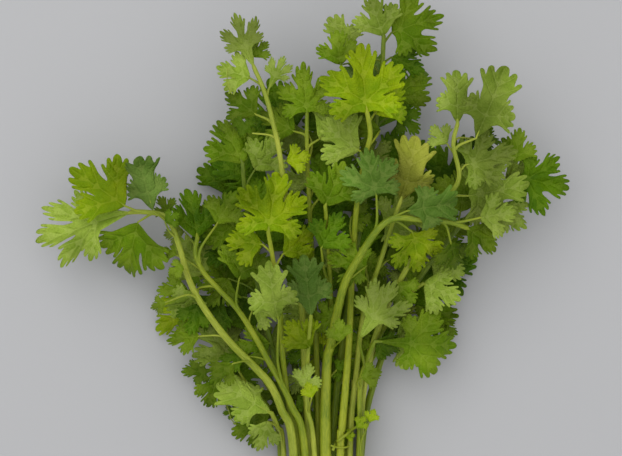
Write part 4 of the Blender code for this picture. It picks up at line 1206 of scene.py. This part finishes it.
def attribute(tree, name):
    """A number kept at each point of the mesh."""
    return add(tree, "ShaderNodeAttribute", attribute_name=name).outputs["Fac"]


def math_node(tree, operation, *values, clamp=False):
    """The result of one sum."""
    made = add(tree, "ShaderNodeMath", dict(enumerate(values)), operation=operation, use_clamp=clamp)
    return made.outputs[0]


def times(tree, first, second):
    """Two numbers multiplied."""
    return math_node(tree, "MULTIPLY", first, second)


def weighed(tree, first, second, share):
    """Two numbers added, the first by its share and the second by what is left."""
    return math_node(tree, "ADD", times(tree, first, share), times(tree, second, 1 - share))


def mixed(tree, share, first, second, blend="MIX"):
    """Two colours mixed by a share."""
    first, second = [(*colour, 1) if isinstance(colour, tuple) else colour for colour in (first, second)]
    sockets = {0: share, 6: first, 7: second}
    return add(tree, "ShaderNodeMix", sockets, data_type="RGBA", blend_type=blend).outputs[2]


def ranged(tree, value, low, high, start=0.0, end=1.0):
    """A number brought from one range to another, and kept in it."""
    sockets = {"Value": value, "From Min": low, "From Max": high, "To Min": start, "To Max": end}
    return add(tree, "ShaderNodeMapRange", sockets, interpolation_type="SMOOTHSTEP").outputs["Result"]


def noise_at(tree, place, scale, detail, rough=0.55):
    """Soft noise, with its middle at one half."""
    sockets = {"Vector": place, "Scale": scale, "Detail": detail, "Roughness": rough}
    return add(tree, "ShaderNodeTexNoise", sockets).outputs["Fac"]


def bumped(tree, height, strength, distance):
    """The normal of a surface that a height swells."""
    sockets = {"Height": height, "Strength": strength, "Distance": distance}
    return add(tree, "ShaderNodeBump", sockets).outputs["Normal"]


def show(tree, shader):
    """Makes a shader the material's surface."""
    add(tree, "ShaderNodeOutputMaterial", {"Surface": shader.outputs[0]})


def leaf_surface_group():
    """What every leaf's skin shares: where it is patchy, where its veins run and how its cells swell."""
    tree = bpy.data.node_groups.new("leaf_surface", "ShaderNodeTree")
    place = add(tree, "ShaderNodeTexCoord").outputs["Object"]
    vein = attribute(tree, "vein")
    cells = {"Vector": place, "Scale": CELL_SCALE, "Randomness": 0.9}
    net = add(tree, "ShaderNodeTexVoronoi", cells, feature="DISTANCE_TO_EDGE").outputs["Distance"]
    broad = noise_at(tree, place, PATCH_SCALE, 2.0)
    small = noise_at(tree, place, GRAIN_SCALE, 3.0)
    wide = noise_at(tree, place, TINT_SCALE, 1.0)
    vein_line = ranged(tree, vein, 0.03, 0.30, 0.75, 0.0)
    fine_net = times(tree, ranged(tree, net, 0.0, 0.16, 1.0, 0.0), 0.10)
    patches = ranged(tree, weighed(tree, broad, small, 0.75), 0.36, 0.66)
    at_edge = ranged(tree, attribute(tree, "rim"), 0.0, 1.2, 0.22, 0.0)
    tone = ranged(tree, wide, 0.33, 0.67, 0.78, 1.42)
    swell = times(tree, ranged(tree, net, 0.0, 0.3), 0.5)
    height = math_node(tree, "ADD", swell, ranged(tree, vein, 0.0, 1.2))
    masks = {
        "Patches": math_node(tree, "ADD", patches, at_edge, clamp=True),
        "Vein": math_node(tree, "ADD", vein_line, fine_net, clamp=True),
        "Underside": attribute(tree, "under"),
        "Lightness": math_node(tree, "MULTIPLY_ADD", attribute(tree, "tint"), 0.16, tone),
        "Height": math_node(tree, "ADD", height, times(tree, small, 0.8)),
    }
    for name in masks:
        tree.interface.new_socket(name=name, in_out="OUTPUT", socket_type="NodeSocketFloat")
    add(tree, "NodeGroupOutput", masks)
    return tree


def leaf_skin(look, group):
    """A leaf's green, with its veins, its duller underside and the light that comes through it."""
    upper, patch, under, vein = LOOKS[look]
    material, tree = new_tree(f"celery_leaf_{look}")
    surface = add(tree, "ShaderNodeGroup", node_tree=group).outputs
    green = mixed(tree, surface["Patches"], upper, patch)
    green = mixed(tree, times(tree, surface["Vein"], 0.45), green, vein)
    below = mixed(tree, times(tree, surface["Vein"], 0.6), under, vein)
    green = mixed(tree, surface["Underside"], green, below)
    grey = dict.fromkeys(("Red", "Green", "Blue"), surface["Lightness"])
    green = mixed(tree, 1.0, green, add(tree, "ShaderNodeCombineColor", grey).outputs[0], blend="MULTIPLY")
    bump = bumped(tree, surface["Height"], *LEAF_BUMP)
    shader = add(tree, "ShaderNodeBsdfPrincipled", {
        "Base Color": green,
        "Roughness": math_node(tree, "MULTIPLY_ADD", surface["Underside"], 0.16, 0.46),
        "Normal": bump,
        "Specular IOR Level": LEAF_SPECULAR,
    })
    through = add(tree, "ShaderNodeBsdfTranslucent", {"Color": green, "Normal": bump})
    both = {0: LIGHT_THROUGH, 1: shader.outputs[0], 2: through.outputs[0]}
    show(tree, add(tree, "ShaderNodeMixShader", both))
    return material


def stalk_skin(tone):
    """A stalk's paler green, with fine strings along it and a watery shine."""
    ground, light = STALK_GREENS[tone]
    material, tree = new_tree(f"celery_stalk_{tone}")
    around = attribute(tree, "around")
    strings = add(tree, "ShaderNodeCombineXYZ", {
        "X": math_node(tree, "COSINE", around),
        "Y": math_node(tree, "SINE", around),
        "Z": times(tree, attribute(tree, "along"), STRING_STRETCH),
    })
    fine = noise_at(tree, strings.outputs[0], STRING_SCALE, 4.0, 0.6)
    place = add(tree, "ShaderNodeTexCoord").outputs["Object"]
    broad = noise_at(tree, place, STALK_PATCH_SCALE, 2.0)
    green = mixed(tree, ranged(tree, weighed(tree, fine, broad, 0.6), 0.38, 0.64), ground, light)
    green = mixed(tree, attribute(tree, "under"), green, mixed(tree, broad, *PITH))
    show(tree, add(tree, "ShaderNodeBsdfPrincipled", {
        "Base Color": green,
        "Roughness": math_node(tree, "MULTIPLY_ADD", broad, 0.2, 0.32),
        "Normal": bumped(tree, fine, *STALK_BUMP),
        "Specular IOR Level": STALK_SPECULAR,
    }))
    return material


def fine_leaves(placed):
    """The leaflets of the solids as fine ones, each with its look."""
    leaves = {}
    for stem in STEMS:
        looks = LEAF_LOOKS.get(stem.name, (stem.tone,) * len(stem.leaves))
        rows = []
        for number, (form, hub, length, pose, branch) in enumerate(placed[stem.name]):
            seed = f"{stem.name} fine {number}"
            rows.append(FineLeaf(form, hub, length, pose, branch, looks[number], seed, PETIOLE_RADII))
        leaves[stem.name] = rows
    return leaves


def draped(spots, courses, radii, thick):
    """A shoot's points, each put on top of the stems that are under it."""
    heart, reach = np.concatenate(courses), np.concatenate(radii)
    line = smooth_branch([(x, y, 0.0) for x, y in spots])
    for point in line:
        near = np.linalg.norm(heart[:, :2] - point[:2], axis=1) < reach + SHOOT_ROOM
        point[2] = (heart[near, 2] + reach[near]).max(initial=thick) + thick
    return line


def strand_lines(courses, radii):
    """The loose strands and the shoots of each stem, with how thick each is."""
    lines = {}
    for name, rows in STRANDS.items():
        lines.setdefault(name, []).extend((smooth_branch(strand), thick) for strand, thick in rows)
    for name, rows in SHOOTS.items():
        shoots = [(draped(spots, courses, radii, thick), thick) for spots, thick in rows]
        lines.setdefault(name, []).extend(shoots)
    return lines


def leafy_piece(stem, course, radius, leaves, strands, middle, materials):
    """One stem with its branches and leaflets, which takes the place of its solid."""
    points, radii = course, radius
    if leaves and leaves[0].branch is None:
        points, radii = run_on(course, radius, leaves[0])
    meshes = [stalk_mesh(stem.name, points, radii, middle, stem.flat, stem.name, materials)]
    for number, fine in enumerate(leaves):
        meshes.append(blade_mesh(f"{stem.name}_blade_{number}", fine, middle, materials))
        if fine.branch is not None:
            name = f"{stem.name}_branch_{number}"
            line = smooth_branch(fine.branch[:-1])
            line, thin = run_on(line, np.linspace(*fine.radii, len(line)), fine)
            meshes.append(stalk_mesh(name, line, thin, middle, False, fine.seed, materials, PETIOLE_SIDES))
    for number, (line, thick) in enumerate(strands):
        name, seed = f"{stem.name}_strand_{number}", f"{stem.name} strand {number}"
        thin = np.full(len(line), thick)
        meshes.append(stalk_mesh(name, line, thin, middle, False, seed, materials, STRAND_SIDES))
    piece = joined(f"fine_{stem.name}", meshes)
    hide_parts(stem.name)
    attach(piece, "root")
    return piece


def cells_of(points):
    """The cells of the ground that points stand over."""
    return set(map(tuple, np.floor(points[:, :2] / CELL).astype(int)))


def open_cells(leaves):
    """The cells of the leafy part that no leaflet covers."""
    low, high = LEAFY_PART.min(axis=0), LEAFY_PART.max(axis=0)
    grid = [(x, y) for x in np.arange(low[0], high[0], CELL) for y in np.arange(low[1], high[1], CELL)]
    grid = np.array(grid)
    wanted = cells_of(grid[inside(grid, LEAFY_PART)])
    for rows in leaves.values():
        for fine in rows:
            wanted -= cells_of(shape_of(fine)[0])
    return sorted(wanted)


def shapes_there(courses, radii, leaves):
    """The search shapes of the stems and of their leaflets and branches, for the small leaves to clear."""
    kept = []
    for stem, course, radius in zip(STEMS, courses, radii):
        kept.append((stem.name, "stem", None, *tube_shape(course, radius, FILL_CLEARANCE)))
        for number, fine in enumerate(leaves[stem.name]):
            points, faces = shape_of(fine)[:2]
            kept.append((stem.name, "blade", number, *blade_shape(points, faces, FILL_BLADE_ROOM)))
            if fine.branch is not None:
                tube = tube_shape(fine.branch, PETIOLE_RADII[0], FILL_CLEARANCE)
                kept.append((stem.name, "branch", number, *tube))
    return kept


def stems_in_view(courses, radii):
    """The points, with their radii, of the stretches of stem that the photo shows, and whose each is."""
    number = {stem.name: i for i, stem in enumerate(STEMS)}
    rows, owners = [], []
    for name, low, high in OPEN_STRETCHES:
        whole = np.column_stack([courses[number[name]], radii[number[name]]])
        rows.append(whole[(whole[:, 1] > low) & (whole[:, 1] < high)])
        owners += [name] * len(rows[-1])
    return np.concatenate(rows), np.array(owners)


def fill_leaves(courses, radii, leaves):
    """Small leaves where the bunch is open, each on a petiole from the nearest stem that it can reach."""
    draw = random.Random("fill")
    kept = shapes_there(courses, radii, leaves)
    shown = stems_in_view(courses, radii)
    for x, y, heading, length, form, look in SMALL_LEAVES:
        wish = Wish(np.array((x, y)), heading, SEEN_SPREAD, (length, length), SEEN_HEIGHTS, (form,), (look,))
        keep_leaf(fill_at(wish, courses, kept, shown, draw), leaves, kept)
    # The later rounds lie lower and take only the dark green, which is painted shade between the stems
    for turn, (lengths, heights, looks) in enumerate(FILL_ROUNDS, 1):
        if turn == len(FILL_ROUNDS):
            kept = [row for row in kept if row[1] != "branch"]
        gaps = open_cells(leaves)
        while gaps:
            cell = gaps.pop(draw.randrange(len(gaps)))
            wish = Wish((np.array(cell) + 0.5) * CELL, None, FILL_SPREAD, lengths, heights, FILL_FORMS, looks)
            fine = keep_leaf(fill_at(wish, courses, kept, shown, draw), leaves, kept)
            if fine:
                covered = cells_of(shape_of(fine)[0])
                gaps = [gap for gap in gaps if gap not in covered]


def keep_leaf(found, leaves, kept):
    """Puts a small leaf that was found with its stem's others."""
    if not found:
        return None
    name, fine, blade, tube = found
    leaves[name].append(fine)
    kept.append((name, "blade", fine.seed, *blade))
    kept.append((name, "branch", fine.seed, *tube))
    return fine


def hides_stem(points, shown):
    """Whether points lie over a stem that shows."""
    off = np.linalg.norm(points[:, None, :2] - shown[None, :, :2], axis=2)
    return bool(((off < shown[:, 3] + STEM_IN_VIEW) & (points[:, None, 2] > shown[:, 2])).any())


def stems_near(place, courses):
    """The stems that a small leaf can reach from a place on the ground, the nearest first, and where."""
    near = []
    for stem, course in zip(STEMS, courses):
        off = np.linalg.norm(course[:, :2] - place, axis=1)
        at = int(off.argmin())
        if off[at] < FILL_REACH:
            near.append((off[at], stem, course, at))
    return sorted(near, key=lambda row: row[0])


def fill_at(wish, courses, kept, shown, draw):
    """A small leaf over a place on the ground that clears all others, with its search shapes."""
    near = stems_near(wish.place, courses)
    if not near:
        return None
    for turn in range(FILL_TRIES):
        _, stem, course, at = near[draw.randrange(min(NEAREST_STEMS, len(near)))]
        length = draw.uniform(*wish.lengths) * (1 - FILL_SHRINK * turn / FILL_TRIES)
        heading = wish.heading
        if heading is None:
            heading = math.degrees(math.atan2(*(wish.place - course[at, :2])[::-1]))
        heading += draw.uniform(-wish.spread, wish.spread)
        height = course[at, 2] + draw.uniform(*FILL_RISE)
        if not wish.heights[0] < height < wish.heights[1]:
            height = draw.uniform(*wish.heights)
        pose = (heading, *[draw.uniform(*ends) for ends in FILL_POSE])
        hub = np.array([*wish.place, height]) - FILL_MIDDLE * length * blade_frame(heading, 0, 0)[0]
        root = max(0, at - round(draw.uniform(*FILL_BACK)))
        form = draw.choice(wish.forms)
        flat, faces = flat_blade(form, length)
        points = place_blade(flat, hub, length, pose)
        within = wish.heading is not None or inside(points[:, :2], LEAFY_PART).all()
        if points[:, 2].min() < LOWEST_BLADE or not within:
            continue
        if wish.heading is None and hides_stem(points, shown[0]):
            continue
        blade = blade_shape(points, faces, FILL_BLADE_ROOM)
        if not is_clear(*blade, kept, ()):
            continue
        way = np.gradient(course, axis=0)[root]
        way /= np.linalg.norm(way)
        forward = blade_frame(*pose[:3])[0]
        branch = branch_course(course[root], way, hub, forward, rib_points(hub, length, pose))
        reach = np.linalg.norm(np.diff(branch, axis=0), axis=1).sum()
        if branch[:, 2].min() < LOWEST_BLADE or reach > LONGEST_PETIOLE[0] + LONGEST_PETIOLE[1] * length:
            continue
        if hides_stem(smooth_branch(branch), shown[0][shown[1] != stem.name]):
            continue
        tube = tube_shape(branch, FILL_PETIOLE_RADII[0], FILL_PETIOLE_ROOM)
        if not is_clear(*tube, kept, ((stem.name, "stem", None),)):
            continue
        look = draw.choice(wish.looks)
        seed = f"fill {wish.place[0]:.1f} {wish.place[1]:.1f}"
        fine = FineLeaf(form, hub, length, pose, branch, look, seed, FILL_PETIOLE_RADII)
        return stem.name, fine, blade, tube
    return None


def set_table():
    """A plain pale surface under the bunch."""
    bm = bmesh.new()
    bmesh.ops.create_grid(bm, x_segments=1, y_segments=1, size=TABLE_HALF)
    mesh = bpy.data.meshes.new("table")
    bm.to_mesh(mesh)
    bm.free()
    table = bpy.data.objects.new("table", mesh)
    bpy.context.scene.collection.objects.link(table)
    material, tree = new_tree("pale_table")
    sockets = {"Base Color": TABLE_GREY, "Roughness": TABLE_ROUGHNESS}
    show(tree, add(tree, "ShaderNodeBsdfPrincipled", sockets))
    mesh.materials.append(material)


def set_light():
    """An even sky and one broad soft light from above, with a weaker one across from it."""
    world = bpy.data.worlds.new("studio")
    bpy.context.scene.world = world
    world.use_nodes = True
    sky = world.node_tree.nodes["Background"]
    sky.inputs["Color"].default_value = SKY_COLOUR
    sky.inputs["Strength"].default_value = SKY_STRENGTH
    for name, place, size, power in LAMPS:
        lamp = bpy.data.lights.new(name, "AREA")
        lamp.size = size
        lamp.energy = power
        light = bpy.data.objects.new(name, lamp)
        light.location = place
        light.rotation_euler = (-Vector(place)).to_track_quat("-Z", "Y").to_euler()
        bpy.context.scene.collection.objects.link(light)


def set_camera(middle):
    """A camera that looks straight down, framed as the photo is."""
    lens = bpy.data.cameras.new("camera")
    lens.sensor_width = FILM_WIDTH
    lens.lens = lens.sensor_width * EYE_HEIGHT / (PHOTO_SIZE[0] * MM_PER_PIXEL)
    camera = bpy.data.objects.new("camera", lens)
    x, y = PHOTO_MIDDLE
    camera.location = Vector((x - middle[0], y - middle[1], EYE_HEIGHT + SHARP_HEIGHT)) * MM
    bpy.context.scene.collection.objects.link(camera)
    bpy.context.scene.camera = camera
    bpy.context.scene.view_settings.view_transform = "Standard"


def main():
    """Dress every stem, then set the table, the light and the camera."""
    courses, radii, placed = lay_out()
    middle = place_of_middle(courses, placed)
    set_camera(middle)
    group = leaf_surface_group()
    skins = [leaf_skin(look, group) for look in LOOK_ORDER]
    stalks = {tone: stalk_skin(tone) for tone in STALK_GREENS}
    leaves = fine_leaves(placed)
    fill_leaves(courses, radii, leaves)
    strands = strand_lines(courses, radii)
    for stem, course, radius in zip(STEMS, courses, radii):
        extra = strands.get(stem.name, ())
        leafy_piece(stem, course, radius, leaves[stem.name], extra, middle, skins + [stalks[stem.tone]])
    set_table()
    set_light()


main()
